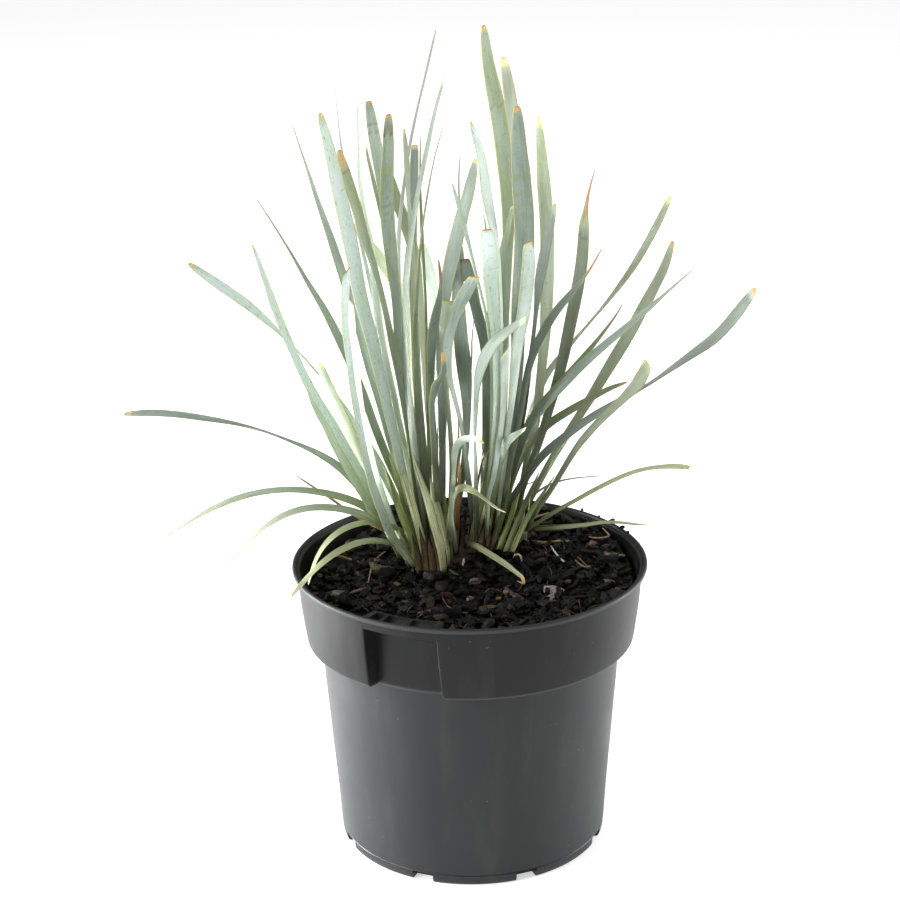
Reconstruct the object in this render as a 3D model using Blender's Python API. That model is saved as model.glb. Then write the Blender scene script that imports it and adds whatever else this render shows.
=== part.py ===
"""Potted lomandra: a clumping strap-leaved plant in its round nursery pot.

Metres, +Z up. The origin is the middle of the pot's flat underside, and the viewer stands at -Y.
Each blade follows the middle line of a real blade as it is seen from one fixed viewpoint: a point
across and down in that view, in pixels, becomes a place once its depth behind the pot's centre is
known. The pot, the soil and the crowns are turned and heaped from the sizes below.
"""

import math
from itertools import combinations

import bpy
import numpy as np
from mathutils import Vector
from mathutils.bvhtree import BVHTree

MM = 0.001
GAP = 0.35

# The viewpoint: focal length and image middle in pixels, place in mm, angles in degrees.
FOCAL = 2154.5
IMAGE_MIDDLE = 450.0
EYE = np.array([-7.24, -811.85, 448.35])
PITCH = math.radians(19.19)
ROLL = math.radians(0.915)

# Pot, in mm. Angles run from the front (-Y), positive to the right.
POT_HEIGHT = 119.2
LIP_RADIUS = 72.0
BASE_RADIUS = 54.8
NECK_RADIUS = 60.7
COLLAR_BOTTOM = 87.5
WALL = 1.6
POT_COLUMNS = 54
RECESS_LEFT = -36.6
RECESS_RIGHT = -10.2
RECESS_SLANT = 1.2
RECESS_WALL = 1.35
RECESS_TOP = 113.3
SIDE_SPREAD = 0.4
DRAINS = 8
DRAIN_WIDTH = 9.0
DRAIN_TOP = 4.2
DRAIN_INSIDE = 49.5
DRAIN_OUTSIDE = 58.0

# Tag holder: a shelf over the recess with three cells cut through it, each from one angle to another.
SHELF_TOP = 117.6
CELLS = ((-35.6, -31.7), (-30.5, -22.1), (-20.9, -12.9))
CELL_INSIDE = 61.9
CELL_OUTSIDE = 68.5

# Potting mix, in mm: low at the front, up to the lip behind on the right, heaped at the plant.
SOIL_FRONT = 105.0
SOIL_RISE = 12.0
SOIL_HEAP = 2.0
SOIL_LUMP = 1.1
HEAP_MIDDLE = (0.0, 27.0)
HEAP_REACH = 30.0
SOIL_RINGS = (0.16, 0.32, 0.49, 0.64, 0.77, 0.89)
SOIL_CLEAR = 0.5

# Crowns: middle, half sizes across and behind, and height over the soil, in mm.
CROWNS = {
    "left": ((-12.0, 26.0), (14.0, 11.5), 3.2),
    "right": ((14.5, 33.0), (13.5, 10.5), 3.2),
}
CROWN_COLUMNS = 18
CROWN_RINGS = (0.0, 0.45, 0.75, 1.0)
ROOT_SPACING = 4.1
ROOT_ORDER = 6.0

# Blades, in mm.
BLADE_WIDTH = 7.0
BLADE_THICK = 1.0
ROOT_WIDTH = 2.6
WIDEN_RUN = 90.0
TIP_TAPER = 20.0
BLADE_STATIONS = 13
STRAW_WIDTH = 0.62

# Settling, in mm: each round moves the blades that touch a step apart.
ROOT_LIFT = 1.0
SETTLE_ROUNDS = 200
SETTLE_STEP = 0.3
SETTLE_REACH = 14.0
HIDDEN_RUN = 45.0
SLIMMING = 0.08
SETTLE_MARGIN = 0.25
VIEW_DISTANCE = 920.0

# Each blade: clump, depth of its tip behind the pot's centre in mm, which way its face turns,
# finish, and its middle line from the tip down: across, down and seen width in pixels.
BLADES = (
    ("left", -25, 1, "pale", (
        (320, 113, 2), (321.5, 120, 7), (324.5, 130, 10), (329.7, 150, 12.5), (334.5, 170, 13.5),
        (343.5, 210, 15), (352.5, 250, 15), (359, 290, 14.5), (364.5, 310, 14), (369.5, 330, 13.5),
        (379.5, 370, 11.5), (386, 400, 11), (396, 440, 9.5), (405, 480, 8), (415, 515, 7),
    )),
    ("left", 4, 1, "green", (
        (338.5, 150, 3), (343, 168, 9), (348, 182, 11), (352, 195, 11.5), (358, 213, 10.5),
        (364, 235, 9), (370, 255, 8), (377, 278, 6), (383, 300, 6), (387, 320, 6), (391, 340, 7.5),
        (396.5, 365, 8), (402, 390, 8), (408, 425, 8), (413, 455, 8), (419, 490, 7),
    )),
    ("left", 50, 1, "grey", (
        (368.3, 101, 3), (370, 112, 9), (373, 130, 12), (375.5, 145, 13), (379, 160, 13),
        (382, 180, 13), (385, 200, 12), (389, 230, 12), (392, 260, 11), (395, 290, 10), (399, 330, 9),
        (403, 380, 8), (409, 430, 8), (417, 490, 7),
    )),
    ("left", 62, -1, "dark", (
        (357.3, 106, 1), (358, 135, 1.8), (358.5, 158, 3), (359.5, 185, 4), (362.5, 207, 4),
        (366.5, 225, 4.5), (370.5, 243, 6), (373, 265, 7), (375, 295, 8), (378, 320, 8),
        (381.5, 342, 8), (386.5, 367, 8), (393, 398, 8), (399, 430, 8), (405, 462, 8), (412, 500, 7),
    )),
    ("left", 95, -1, "olive", (
        (354, 224, 2), (360, 234, 8), (370, 247, 12), (380, 259, 13), (391, 274, 13), (400, 293, 12),
        (408, 320, 10), (414, 360, 9), (419, 410, 8), (424, 470, 7),
    )),
    ("left", 8, 1, "banded", (
        (388.6, 114, 3), (389.3, 121, 8), (389, 135, 11), (388, 155, 13), (387.5, 175, 13.5),
        (387.5, 200, 14), (388.5, 225, 14), (390, 245, 13), (392.5, 265, 11), (395, 285, 9),
        (396.8, 305, 8), (397.5, 330, 7.5), (399.8, 360, 7), (404, 400, 7), (409, 430, 7.5),
        (415, 465, 7), (421, 500, 7),
    )),
    ("left", 88, 1, "olive", (
        (386, 168, 3), (391, 185, 10), (398, 204, 12), (406, 225, 12), (413, 250, 11), (418, 285, 9),
        (422, 330, 8), (427, 390, 8), (432, 450, 7),
    )),
    ("left", 35, 1, "green", (
        (404, 129, 4), (405.3, 141, 8.5), (406, 155, 8), (406.7, 170, 5), (407.7, 188, 4),
        (409, 210, 4), (411, 240, 5), (413, 280, 6), (415, 330, 7), (419, 400, 7), (425, 470, 7),
    )),
    ("left", 100, -1, "dark", (
        (436, 30, 1), (430, 57, 1.2), (424, 82, 1.4), (416.5, 114, 1.8), (411.5, 140, 2),
        (406, 172, 3), (402.5, 200, 3.5), (400.5, 225, 4), (398.5, 255, 4.5), (399, 290, 5),
        (402, 340, 6), (409, 400, 7), (418, 460, 7),
    )),
    ("left", 48, 1, "dark", (
        (414.5, 145, 4), (414.3, 155, 7), (414, 175, 8), (413.3, 200, 8), (412.8, 225, 8),
        (412.5, 260, 8), (413, 300, 8), (415, 350, 8), (419, 420, 8), (426, 480, 7),
    )),
    ("left", -16, -1, "grey", (
        (445.4, 75, 1), (441.5, 91, 2.5), (437, 104, 3.3), (432.5, 120, 4), (428, 140, 4.2),
        (424, 160, 4.5), (420.2, 180, 4.6), (416.2, 200, 5.2), (412.7, 220, 6), (409.5, 240, 6.5),
        (407, 265, 7), (405.3, 300, 7), (405, 340, 7.5), (406.8, 380, 8), (411, 420, 8), (416, 460, 8),
        (423, 500, 7),
    )),
    ("left", 90, -1, "grey", (
        (421, 243, 4), (425, 257, 8), (430, 273, 10), (434, 289, 10), (437, 308, 9), (438, 330, 6),
        (437, 350, 4), (436.7, 372, 4), (437.5, 392, 5), (438.7, 412, 5), (441, 440, 5), (443, 475, 5),
        (444, 510, 5),
    )),
    ("left", -18, 1, "dark", (
        (438.4, 259, 3), (438.6, 264, 3.5), (440.2, 273, 2.4), (440.8, 284, 3.5), (440, 296, 7),
        (437.3, 310, 9.3), (434.8, 323, 10), (432.6, 340, 10.5), (431.6, 360, 8.5), (431.4, 385, 7),
        (432.8, 420, 6.5), (436, 465, 7), (440, 510, 7),
    )),
    ("left", 20, -1, "green", (
        (445.8, 300, 5), (447, 308, 9), (445.5, 320, 9.5), (443.3, 335, 8), (443.3, 352, 6),
        (444.5, 370, 4.5), (446.3, 390, 4.5), (448.3, 412, 4.5), (450, 440, 4.5), (451.3, 475, 4.5),
        (451.5, 515, 5),
    )),
    ("left", 84, 1, "grey", (
        (292, 123, 1), (300, 150, 1.8), (307, 168, 2.5), (314, 191, 4), (321, 210, 5.5), (328, 231, 7),
        (334, 250, 8.5), (340, 268, 9), (346, 287, 9), (352, 305, 8.7), (357, 322, 8.7),
        (361.5, 340, 8.7), (366.5, 360, 8.5), (372, 380, 7), (377.5, 400, 5.5), (385, 430, 5),
        (391, 450, 4.7), (397, 470, 4.7), (405, 495, 5),
    )),
    ("left", 60, 1, "dark", (
        (256, 198, 1), (266, 213, 1.2), (274, 226, 1.4), (281, 238, 1.7), (288, 250, 2), (295, 260, 3),
        (303, 275, 4), (311, 289, 5.2), (320, 303, 6.5), (329, 320, 8), (338, 338, 9), (346, 355, 9),
        (355, 374, 9), (363, 394, 8.5), (369, 412, 8.5), (376, 431, 8.5), (383, 449, 8.5),
        (390, 464, 8.5), (398, 481, 8), (407, 503, 7),
    )),
    ("left", -50, 1, "pale", (
        (347, 270, 2), (346.5, 278, 6.5), (346, 290, 8), (345.5, 308, 7.5), (346.3, 328, 7.5),
        (348, 345, 7.5), (350.5, 365, 7), (354, 390, 7), (358.5, 417, 7), (363, 441, 7),
        (367, 460, 7.5), (372, 480, 8), (378, 500, 8), (386, 520, 9), (395, 540, 9.5), (404, 556, 9),
    )),
    ("left", -30, -1, "pale", (
        (350.4, 301, 1.5), (351.5, 312, 5), (352.2, 330, 5.5), (353.5, 350, 5.5), (356, 370, 5.5),
        (359.5, 395, 5), (363.5, 420, 5), (369, 447, 6), (375, 472, 7), (383, 498, 7), (393, 524, 7),
        (404, 546, 7),
    )),
    ("left", -5, 1, "pale", (
        (252, 245, 1.5), (256, 255, 4), (259, 265, 5.2), (263, 275, 6), (268, 290, 7.5), (272, 301, 8),
        (281, 325, 8), (290, 346, 8), (300, 368, 8.3), (311, 390, 9.5), (325, 414, 10), (340, 438, 10),
        (350, 456, 10), (360, 474, 10), (370, 492, 9.5), (381, 513, 9), (394, 536, 8),
    )),
    ("left", 28, -1, "green", (
        (319.5, 363, 3), (323, 373, 7), (329, 388, 8.5), (335, 400, 9.5), (341, 413, 10),
        (348, 428, 10), (355, 443, 10), (362, 460, 9), (369, 478, 8.5), (378, 499, 8), (390, 524, 7),
    )),
    ("left", 38, 1, "pale", (
        (188.5, 263.5, 1.5), (196, 269, 5.5), (203, 274, 9), (213, 281, 10), (223, 288, 10),
        (233, 295.3, 10), (243, 302, 10.3), (252, 309, 9), (260, 316, 8), (268, 323, 6.5),
        (276, 330.5, 4.5), (284, 338, 3), (292, 346, 2), (300, 354.5, 1.6), (308, 363, 1.6),
        (315, 371, 2), (322, 380, 2.5), (330, 389, 3.5), (338, 400, 5), (346, 411, 6), (354, 423, 6.5),
        (361, 435, 7), (369, 449, 8), (378, 463, 9), (387, 480, 9), (397, 502, 8),
    )),
    ("left", -23, 1, "green", (
        (307, 390, 2), (311, 400, 4), (318, 413, 6), (326, 428, 8), (335, 446, 8), (345, 463, 9),
        (355, 481, 9), (366, 500, 8), (378, 521, 8), (391, 542, 8),
    )),
    ("left", 16, 1, "grey", (
        (124, 414.3, 1.2), (131, 413.8, 4.5), (140, 413.5, 5.5), (150, 413.3, 6), (160, 413.5, 6.5),
        (170, 414, 6.8), (180, 415, 6.8), (190, 416.3, 6.5), (200, 417.8, 6.2), (210, 419.4, 5.6),
        (220, 421.2, 5), (230, 423.2, 4.2), (240, 425.3, 3.2), (250, 427.7, 2.4), (262, 431, 2),
        (275, 435.5, 2), (288, 440.5, 2.8), (300, 445, 4), (310, 450, 5), (320, 455.3, 6),
        (330, 461.3, 7), (340, 468.5, 8), (350, 477.5, 8), (360, 489, 8), (371, 504, 8), (384, 524, 7),
    )),
    ("left", -16, 1, "green", (
        (149.3, 549.5, 1), (160, 541, 1.2), (170, 534.2, 1.5), (180, 528, 2), (190, 521.7, 2.8),
        (200, 516, 3.6), (210, 510.6, 4.6), (220, 505.5, 5.4), (230, 501.2, 5.8), (240, 497.6, 6),
        (250, 494.7, 6), (260, 492.4, 6), (270, 490.9, 6), (280, 490.1, 6), (290, 490, 6),
        (300, 490.5, 6.3), (310, 491.3, 6.5), (320, 492.5, 7), (330, 494.2, 7), (340, 497, 7.5),
        (352, 501, 8), (362, 505.5, 8), (373, 512, 8), (386, 523, 8), (398, 538, 7),
    )),
    ("left", -38, 1, "green", (
        (222, 571, 1), (230, 562.5, 1.3), (240, 551.3, 1.8), (250, 541.3, 3), (260, 531.3, 4.5),
        (270, 523.6, 5.2), (280, 517.6, 5.8), (290, 513.2, 6.2), (300, 510.3, 6.5), (310, 508.6, 6.5),
        (320, 508, 7), (330, 508, 7), (340, 509.2, 7), (350, 511.2, 7.5), (360, 514.3, 8),
        (372, 519.5, 8), (384, 527.5, 7), (396, 540, 6),
    )),
    ("left", -30, 1, "straw", (
        (308.3, 585, 1.5), (311.5, 573, 3), (316, 560.5, 4), (322, 549.3, 5), (330, 539.3, 5.5),
        (340, 531.3, 6), (350, 526.2, 6), (361, 523.3, 5.5), (372, 522.5, 5), (384, 525, 5),
    )),
    ("left", -42, 1, "straw", (
        (292, 596.5, 1.5), (300, 586.3, 4), (309, 576, 5), (318, 567, 5.5), (328, 558.3, 6),
        (340, 550.6, 6.5), (352, 545.2, 6.5), (364, 541.7, 6), (376, 540.6, 6), (388, 542, 5.5),
        (398, 546, 5),
    )),
    ("right", 24, 1, "green", (
        (483.5, 25, 2), (483.8, 32, 7.5), (485, 42, 10.5), (488, 60, 13.5), (491.5, 80, 14.5),
        (496, 100, 16), (499.7, 120, 16.5), (502.5, 140, 16.5), (505, 160, 16), (507, 180, 15),
        (508.5, 200, 14), (509, 225, 12), (508.5, 250, 10), (507, 280, 9), (505.8, 320, 8),
        (505, 370, 8), (503, 430, 8), (499, 490, 7),
    )),
    ("right", 50, -1, "grey", (
        (503.5, 57, 2), (505, 68, 9), (507, 80, 11), (510, 95, 13), (513, 112, 13.5), (516, 135, 13),
        (519, 160, 13), (521.5, 190, 12), (523, 225, 12), (523, 270, 11), (521, 330, 10),
        (517, 400, 8), (510, 470, 7),
    )),
    ("right", 6, 1, "grey", (
        (517, 106, 3), (517.3, 113, 10), (518, 122, 13.5), (518.4, 135, 15.5), (519.3, 150, 17.5),
        (520.5, 168, 18.7), (522.5, 195, 20), (524, 220, 20.5), (524.3, 240, 20.5), (523.5, 260, 19.5),
        (521.8, 280, 18.5), (520, 305, 17), (518.5, 335, 14), (517, 365, 12), (514.5, 400, 10),
        (511, 440, 8), (505, 490, 7),
    )),
    ("right", -43, 1, "pale", (
        (528, 242.3, 3), (528.8, 252, 10.5), (528.8, 265, 13), (528, 280, 14), (526.5, 295, 14),
        (524.5, 310, 13.5), (521.5, 325, 13), (518.8, 340, 12), (517, 352, 11.5), (515.5, 368, 9.7),
        (514, 384, 8.5), (512, 400, 6.8), (510, 420, 5.7), (507.5, 440, 5.2), (505, 460, 5),
        (502, 485, 5), (498.5, 510, 5),
    )),
    ("right", 34, -1, "green", (
        (538.5, 116, 1.5), (539.4, 127, 6.8), (540.3, 140, 9.7), (542, 158, 12.3), (543.5, 178, 13.5),
        (545.3, 195, 14), (546.5, 215, 14), (547, 235, 14), (547.5, 255, 13.7), (547.5, 280, 13.5),
        (547, 305, 13), (545.5, 330, 11), (543.5, 355, 10), (541, 380, 9.5), (538, 405, 9),
        (534.5, 430, 8.5), (530, 455, 8), (525, 480, 8), (518, 510, 7),
    )),
    ("right", 4, -1, "grey", (
        (555.5, 204, 3), (553.7, 212, 5.8), (551.5, 222, 7.2), (549, 236, 9.2), (546, 250, 10.7),
        (543, 264, 11), (540.5, 278, 10.2), (538.5, 291, 8), (537, 303, 5.7), (535.5, 318, 4.2),
        (533.5, 337, 4), (531, 360, 5), (527.5, 385, 6), (523, 415, 6), (518, 445, 6), (511, 480, 6),
    )),
    ("right", -22, 1, "pale", (
        (471, 122, 2), (474, 131, 5.5), (477.5, 141, 7.5), (480.5, 153, 9), (483, 168, 11),
        (485.5, 183, 11), (488.5, 200, 10.5), (491.5, 216, 9.5), (494.5, 231, 7.5), (497.2, 247, 5),
        (499.2, 263, 3.6), (500.7, 282, 3.2), (501.5, 305, 3), (501.5, 335, 3.5), (500.5, 370, 4.5),
        (498, 420, 5), (494, 475, 5),
    )),
    ("left", 34, -1, "grey", (
        (476, 159, 1.5), (475.2, 165, 6), (473.5, 173, 9.5), (471, 183, 11.5), (467.5, 197, 12.7),
        (463, 213, 13), (459, 228, 14), (455.5, 244, 14.8), (452, 260, 15), (448.7, 276, 14),
        (445.5, 292, 12), (443, 312, 10), (441, 345, 8), (441.5, 390, 7), (443, 440, 7), (446, 500, 6),
    )),
    ("right", -25, 1, "pale", (
        (486.6, 229, 8.5), (488, 239, 13), (490, 255, 15.7), (491.2, 275, 16), (492.8, 295, 14.5),
        (495, 315, 11.5), (496, 335, 8.7), (496.4, 355, 6.7), (496.8, 380, 6.3), (496.5, 400, 5.9),
        (495.5, 420, 5.5), (494, 440, 5.5), (492, 460, 5.2), (489.5, 480, 5), (486.5, 503, 5),
    )),
    ("right", -60, -1, "pale", (
        (526, 318.5, 2), (521, 322.3, 6), (512.5, 327.8, 8.7), (503.5, 334, 10), (495.5, 341, 12),
        (488.7, 350, 13), (483.2, 360, 12), (479.2, 371, 10.2), (476.5, 385, 7.8), (475.3, 400, 5.7),
        (474.8, 415, 4.2), (474.5, 432, 3), (474.8, 452, 3), (475.5, 480, 4), (477, 515, 5),
    )),
    ("right", 18, -1, "green", (
        (596, 165, 1), (592, 178, 1.5), (589.3, 190, 2.5), (587, 202, 6), (585.2, 216, 8.7),
        (584.8, 229, 10.7), (583.8, 245, 12), (581.8, 262, 12), (579.3, 280, 12.2), (575.8, 298, 12.2),
        (572, 318, 12.5), (567.3, 340, 12), (563, 360, 11.3), (558, 380, 10.3), (552.5, 400, 9.5),
        (546.3, 420, 8.5), (540, 440, 7.7), (534, 458, 7), (527.5, 478, 6.5), (519.5, 500, 6),
    )),
    ("right", -10, -1, "dark", (
        (602, 249, 1), (598, 257, 3), (594, 264, 2.6), (589, 271.3, 2.3), (584, 279, 3.5),
        (578.5, 286, 5), (571, 294, 6.2), (563, 303.5, 7.5), (555.5, 313.7, 8.5), (549, 324, 9),
        (543, 334, 9.3), (537.3, 345, 9), (532.3, 356.5, 8), (528.3, 370, 7), (525.3, 385, 6.5),
        (523, 400, 6), (520.3, 417, 5.7), (516.5, 435, 5.7), (510, 465, 6), (503, 500, 6),
    )),
    ("right", 64, -1, "green", (
        (670.5, 197, 1.5), (668, 204, 5), (663, 214, 6.7), (658, 224, 7.2), (652, 234.5, 7.5),
        (646.3, 245, 7.5), (640, 256, 7.5), (633.5, 266, 7), (627, 276, 6.3), (620.3, 285.5, 5.6),
        (613, 295, 4.5), (606, 304, 3.4), (600, 311, 2.6), (593, 319, 2.3), (586, 327, 2.5),
        (580, 334, 2.9), (573, 342, 3.7), (565, 351.5, 5), (556, 362.5, 6.3), (548, 374, 6.7),
        (541.5, 387, 6.3), (535, 403, 6), (528, 425, 6), (520, 452, 6), (510, 490, 6),
    )),
    ("right", 40, -1, "green", (
        (673, 241, 1.5), (671.7, 247, 5.5), (668.7, 257, 7.7), (664.5, 267, 8.7), (659, 278, 10),
        (654, 289, 11), (648, 300, 11.3), (642, 311, 11.5), (636, 322, 11.7), (630, 333, 12),
        (623, 345, 12), (616, 356.5, 11.8), (609, 368, 11.2), (603, 378, 10.6), (597, 388, 10),
        (590, 399, 9.2), (583, 410, 8.7), (576, 421, 8.5), (569, 432, 8.2), (562.5, 443, 8),
        (556, 453.5, 7.7), (550, 463.5, 7.4), (543.5, 475, 7), (536, 488.5, 6.6), (527, 504, 6),
        (517, 521, 5.5),
    )),
    ("right", -6, -1, "grey", (
        (695, 268, 1), (688, 274.3, 1.6), (680, 281.2, 2), (672, 288, 2.7), (663, 296.5, 3.6),
        (655, 303.8, 4.6), (647, 311, 5.6), (638, 318.5, 6.2), (629, 325.8, 6.7), (618, 334.5, 7.2),
        (607, 343.3, 7.7), (597, 352, 8.2), (587, 361, 8.7), (578, 370, 9), (569, 379, 9.2),
        (560, 388, 9.2), (551, 397.5, 9.2), (542, 408, 9), (534, 419, 8.6), (527, 432, 8.2),
        (520.5, 447, 8), (513.5, 470, 7), (507, 497, 6),
    )),
    ("right", -30, -1, "pale", (
        (756, 289, 2.5), (752.3, 294, 6.7), (746.3, 302, 9.7), (740, 310, 11), (733.3, 318.7, 11.6),
        (726, 327, 11.6), (718, 335, 11), (709, 342.4, 10), (700, 349, 9), (691, 355.4, 8),
        (682, 361.5, 7), (673, 368, 5.7), (664, 374, 4.6), (655, 380, 3.7), (646, 386, 3.2),
        (637, 391.5, 3.7), (628, 397, 4.7), (620, 401.5, 6), (610, 407, 6.7), (600, 412.7, 7.2),
        (590, 418.8, 7.7), (580, 425.5, 7.9), (570, 433, 8), (560, 441, 8.2), (550, 449.3, 8.2),
        (541.5, 457.5, 8), (533.5, 467, 7.6), (526, 478, 7), (518, 492, 6.6), (509, 511, 6),
    )),
    ("right", -38, -1, "green", (
        (648.8, 365, 4), (648, 369, 8.5), (643, 376.3, 9.7), (637, 383.3, 10), (631, 390.3, 10),
        (624, 398.3, 9), (616, 406.3, 8), (608, 413.5, 7.7), (600, 421, 8), (592, 429.3, 7.8),
        (584, 438.4, 7), (577, 448, 6.6), (570, 459, 6), (563, 470.5, 5.6), (556, 482, 5.5),
        (549, 493.3, 5.2), (540.5, 506, 5), (531, 521, 5),
    )),
    ("right", 26, -1, "olive", (
        (627.5, 382.2, 1), (621, 384, 3.2), (614, 386.8, 4.7), (606, 390.3, 6), (597, 395, 7),
        (588, 400, 7.5), (578, 406, 7.5), (568, 412, 7.7), (558, 418.3, 8), (549, 424.5, 8),
        (541, 431.5, 8), (533, 440, 7.5), (526, 450, 7), (519, 463, 7), (513, 480, 6.5), (506, 502, 6),
    )),
    ("right", -8, -1, "straw", (
        (689.5, 467.7, 1.5), (684, 466.4, 3), (675, 466.3, 3.8), (665, 466.7, 4), (655, 467.7, 4),
        (645, 469.4, 4), (635, 472, 4.1), (625, 475.5, 4.3), (615, 479.7, 4.5), (605, 484.4, 4.5),
        (595, 489.6, 4.5), (585, 495.2, 4.3), (575, 501, 4.1), (565, 506.4, 4), (555, 512, 4),
        (545, 518, 4), (535, 525, 4), (525, 533.5, 4),
    )),
    ("right", 12, -1, "straw", (
        (647.5, 524.3, 1), (640, 524.5, 1.6), (630, 523.6, 2.2), (620, 522.8, 2.7), (610, 522.6, 3),
        (600, 523.2, 3.3), (590, 524.6, 3.5), (580, 526.8, 3.5), (570, 529.7, 3.5), (560, 533, 3.5),
        (550, 536.8, 3.5), (540, 541, 3.5), (531, 545, 3.3),
    )),
    ("right", -48, 1, "pale", (
        (504.5, 352, 1.5), (505, 361, 6.5), (505, 376, 7.6), (504.2, 392, 6.7), (503.2, 408, 5.8),
        (502, 425, 5.6), (499.7, 440, 5.5), (497.5, 455, 5.2), (495, 471, 5), (492, 490, 5),
        (488, 512, 5),
    )),
    ("right", 30, -1, "dark", (
        (464.5, 258.7, 4), (466, 267, 8.7), (468.7, 280, 10.5), (472, 293, 11.2), (475, 305, 11.6),
        (478.5, 319, 11.6), (482, 333, 11.6), (484.8, 346, 11.2), (486.5, 362, 11), (487.3, 385, 11),
        (487, 410, 10.5), (486, 440, 9), (484, 480, 8),
    )),
    ("left", 52, -1, "grey", (
        (459.3, 244, 3), (458.5, 258, 9), (458.5, 275, 12), (459, 295, 12.5), (460, 315, 13),
        (461, 335, 14), (462.2, 352, 15.5), (464.3, 370, 15), (466, 388, 12), (467, 405, 9),
        (467, 430, 7), (464, 470, 7), (459, 515, 6),
    )),
    ("left", -34, 1, "pale", (
        (484, 442.5, 1.5), (480, 441, 2.5), (475, 439.2, 5), (469.5, 438.8, 7.5), (464.5, 439.6, 8.7),
        (460.5, 442.3, 9), (457.7, 446.5, 8), (456, 452, 6.5), (455.2, 459, 5), (454.8, 468, 4.5),
        (454, 480, 4.2), (452.8, 500, 5), (451.5, 525, 5),
    )),
    ("left", -30, -1, "straw", (
        (506.3, 512.3, 1.8), (503.5, 513.2, 2.5), (500, 510.5, 2.6), (495, 506.8, 2.8), (488, 502, 3),
        (481, 496.8, 3.5), (475.5, 493, 5), (470.5, 490.2, 7), (466, 488.4, 8), (461.5, 487.8, 8),
        (457, 489.5, 7), (453.5, 495, 6), (451.5, 508, 5), (450.5, 525, 5),
    )),
    ("left", -8, 1, "straw", (
        (517, 581, 1.6), (519.5, 583.3, 2.2), (523, 583.3, 3), (525, 581.3, 3), (523, 578.3, 3.6),
        (519, 574.5, 4.2), (513, 569.7, 5), (507, 565.2, 5.5), (500, 560.5, 6), (493, 556, 6),
        (486, 551.6, 6), (479, 547.4, 6), (472, 543.8, 6), (465, 541.7, 5.5), (459, 541.8, 5),
    )),
    ("right", -30, 1, "pale", (
        (475, 276.5, 4), (470, 282, 9), (466.5, 290, 11), (462.5, 301, 12), (459, 310, 12),
        (453.5, 321, 11), (450, 332, 11), (448.3, 345, 10.5), (448, 358, 9.5), (449, 370, 6),
        (451.5, 382, 5), (455, 398, 4), (458.5, 412, 4), (461.5, 426, 4), (464.5, 445, 5),
        (469, 480, 6), (474, 520, 6),
    )),
    ("right", -8, 1, "green", (
        (512, 205, 2), (510, 215, 5), (507.5, 230, 7.5), (504.5, 245, 9), (502.5, 260, 9),
        (502, 275, 7), (502, 290, 4.5), (502.5, 320, 4), (502, 370, 4), (499, 440, 5), (494, 500, 5),
    )),
    ("right", -40, -1, "grey", (
        (526, 428, 1), (522, 431, 3.5), (516, 435, 6.5), (510, 440, 9), (505, 445, 11), (501, 452, 11),
        (498.5, 462, 9.5), (496, 475, 8), (493, 490, 7), (490, 510, 6),
    )),
)

COLOURS = {
    "pale": (0.52, 0.62, 0.58),
    "grey": (0.27, 0.34, 0.31),
    "green": (0.33, 0.40, 0.27),
    "banded": (0.30, 0.36, 0.30),
    "olive": (0.23, 0.29, 0.12),
    "dark": (0.14, 0.18, 0.15),
    "straw": (0.55, 0.56, 0.35),
}


def material(name, colour, roughness):
    finish = bpy.data.materials.new(name)
    finish.use_nodes = True
    shader = finish.node_tree.nodes["Principled BSDF"]
    shader.inputs["Base Color"].default_value = (*colour, 1.0)
    shader.inputs["Roughness"].default_value = roughness
    shader.inputs["Metallic"].default_value = 0.0
    return finish


def add_object(name, points, faces, finish):
    """A mesh object from points in mm."""
    mesh = bpy.data.meshes.new(name)
    mesh.from_pydata([tuple(MM * value for value in point) for point in points], [], faces)
    mesh.validate()
    mesh.shade_smooth()
    mesh.set_sharp_from_angle(angle=math.radians(35))
    if finish:
        mesh.materials.append(finish)
    made = bpy.data.objects.new(name, mesh)
    bpy.context.scene.collection.objects.link(made)
    return made


def smooth_step(value):
    value = min(max(value, 0.0), 1.0)
    return value * value * (3 - 2 * value)


def sight_line(across, down):
    """The direction from the eye through a point of the view."""
    right = across - IMAGE_MIDDLE
    up = IMAGE_MIDDLE - down
    level_right = (right * math.cos(ROLL) + up * math.sin(ROLL)) / FOCAL
    level_up = (up * math.cos(ROLL) - right * math.sin(ROLL)) / FOCAL
    forward = math.cos(PITCH) + level_up * math.sin(PITCH)
    upward = level_up * math.cos(PITCH) - math.sin(PITCH)
    return np.array([level_right, forward, upward])


def place(across, down, depth):
    """The place in mm on a sight line at a depth behind the pot's centre."""
    line = sight_line(across, down)
    return EYE + line * ((depth - EYE[1]) / line[1])


def seen(point):
    """Across and down in the view, in pixels, and the distance along the view, in mm."""
    offset = np.asarray(point, float) - EYE
    distance = offset[1] * math.cos(PITCH) - offset[2] * math.sin(PITCH)
    right = FOCAL * offset[0] / distance
    up = FOCAL * (offset[1] * math.sin(PITCH) + offset[2] * math.cos(PITCH)) / distance
    across = IMAGE_MIDDLE + right * math.cos(ROLL) - up * math.sin(ROLL)
    down = IMAGE_MIDDLE - right * math.sin(ROLL) - up * math.cos(ROLL)
    return across, down, distance


def smooth_samples(knots, values, places):
    """Values at places along a smooth curve through values at knots."""
    slopes = np.gradient(values, knots, axis=0)
    first = np.clip(np.searchsorted(knots, places) - 1, 0, len(knots) - 2)
    span = (knots[first + 1] - knots[first])[:, None]
    t = (places[:, None] - knots[first][:, None]) / span
    return (
        (2 * t**3 - 3 * t**2 + 1) * values[first]
        + (t**3 - 2 * t**2 + t) * span * slopes[first]
        + (3 * t**2 - 2 * t**3) * values[first + 1]
        + (t**3 - t**2) * span * slopes[first + 1]
    )


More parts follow.
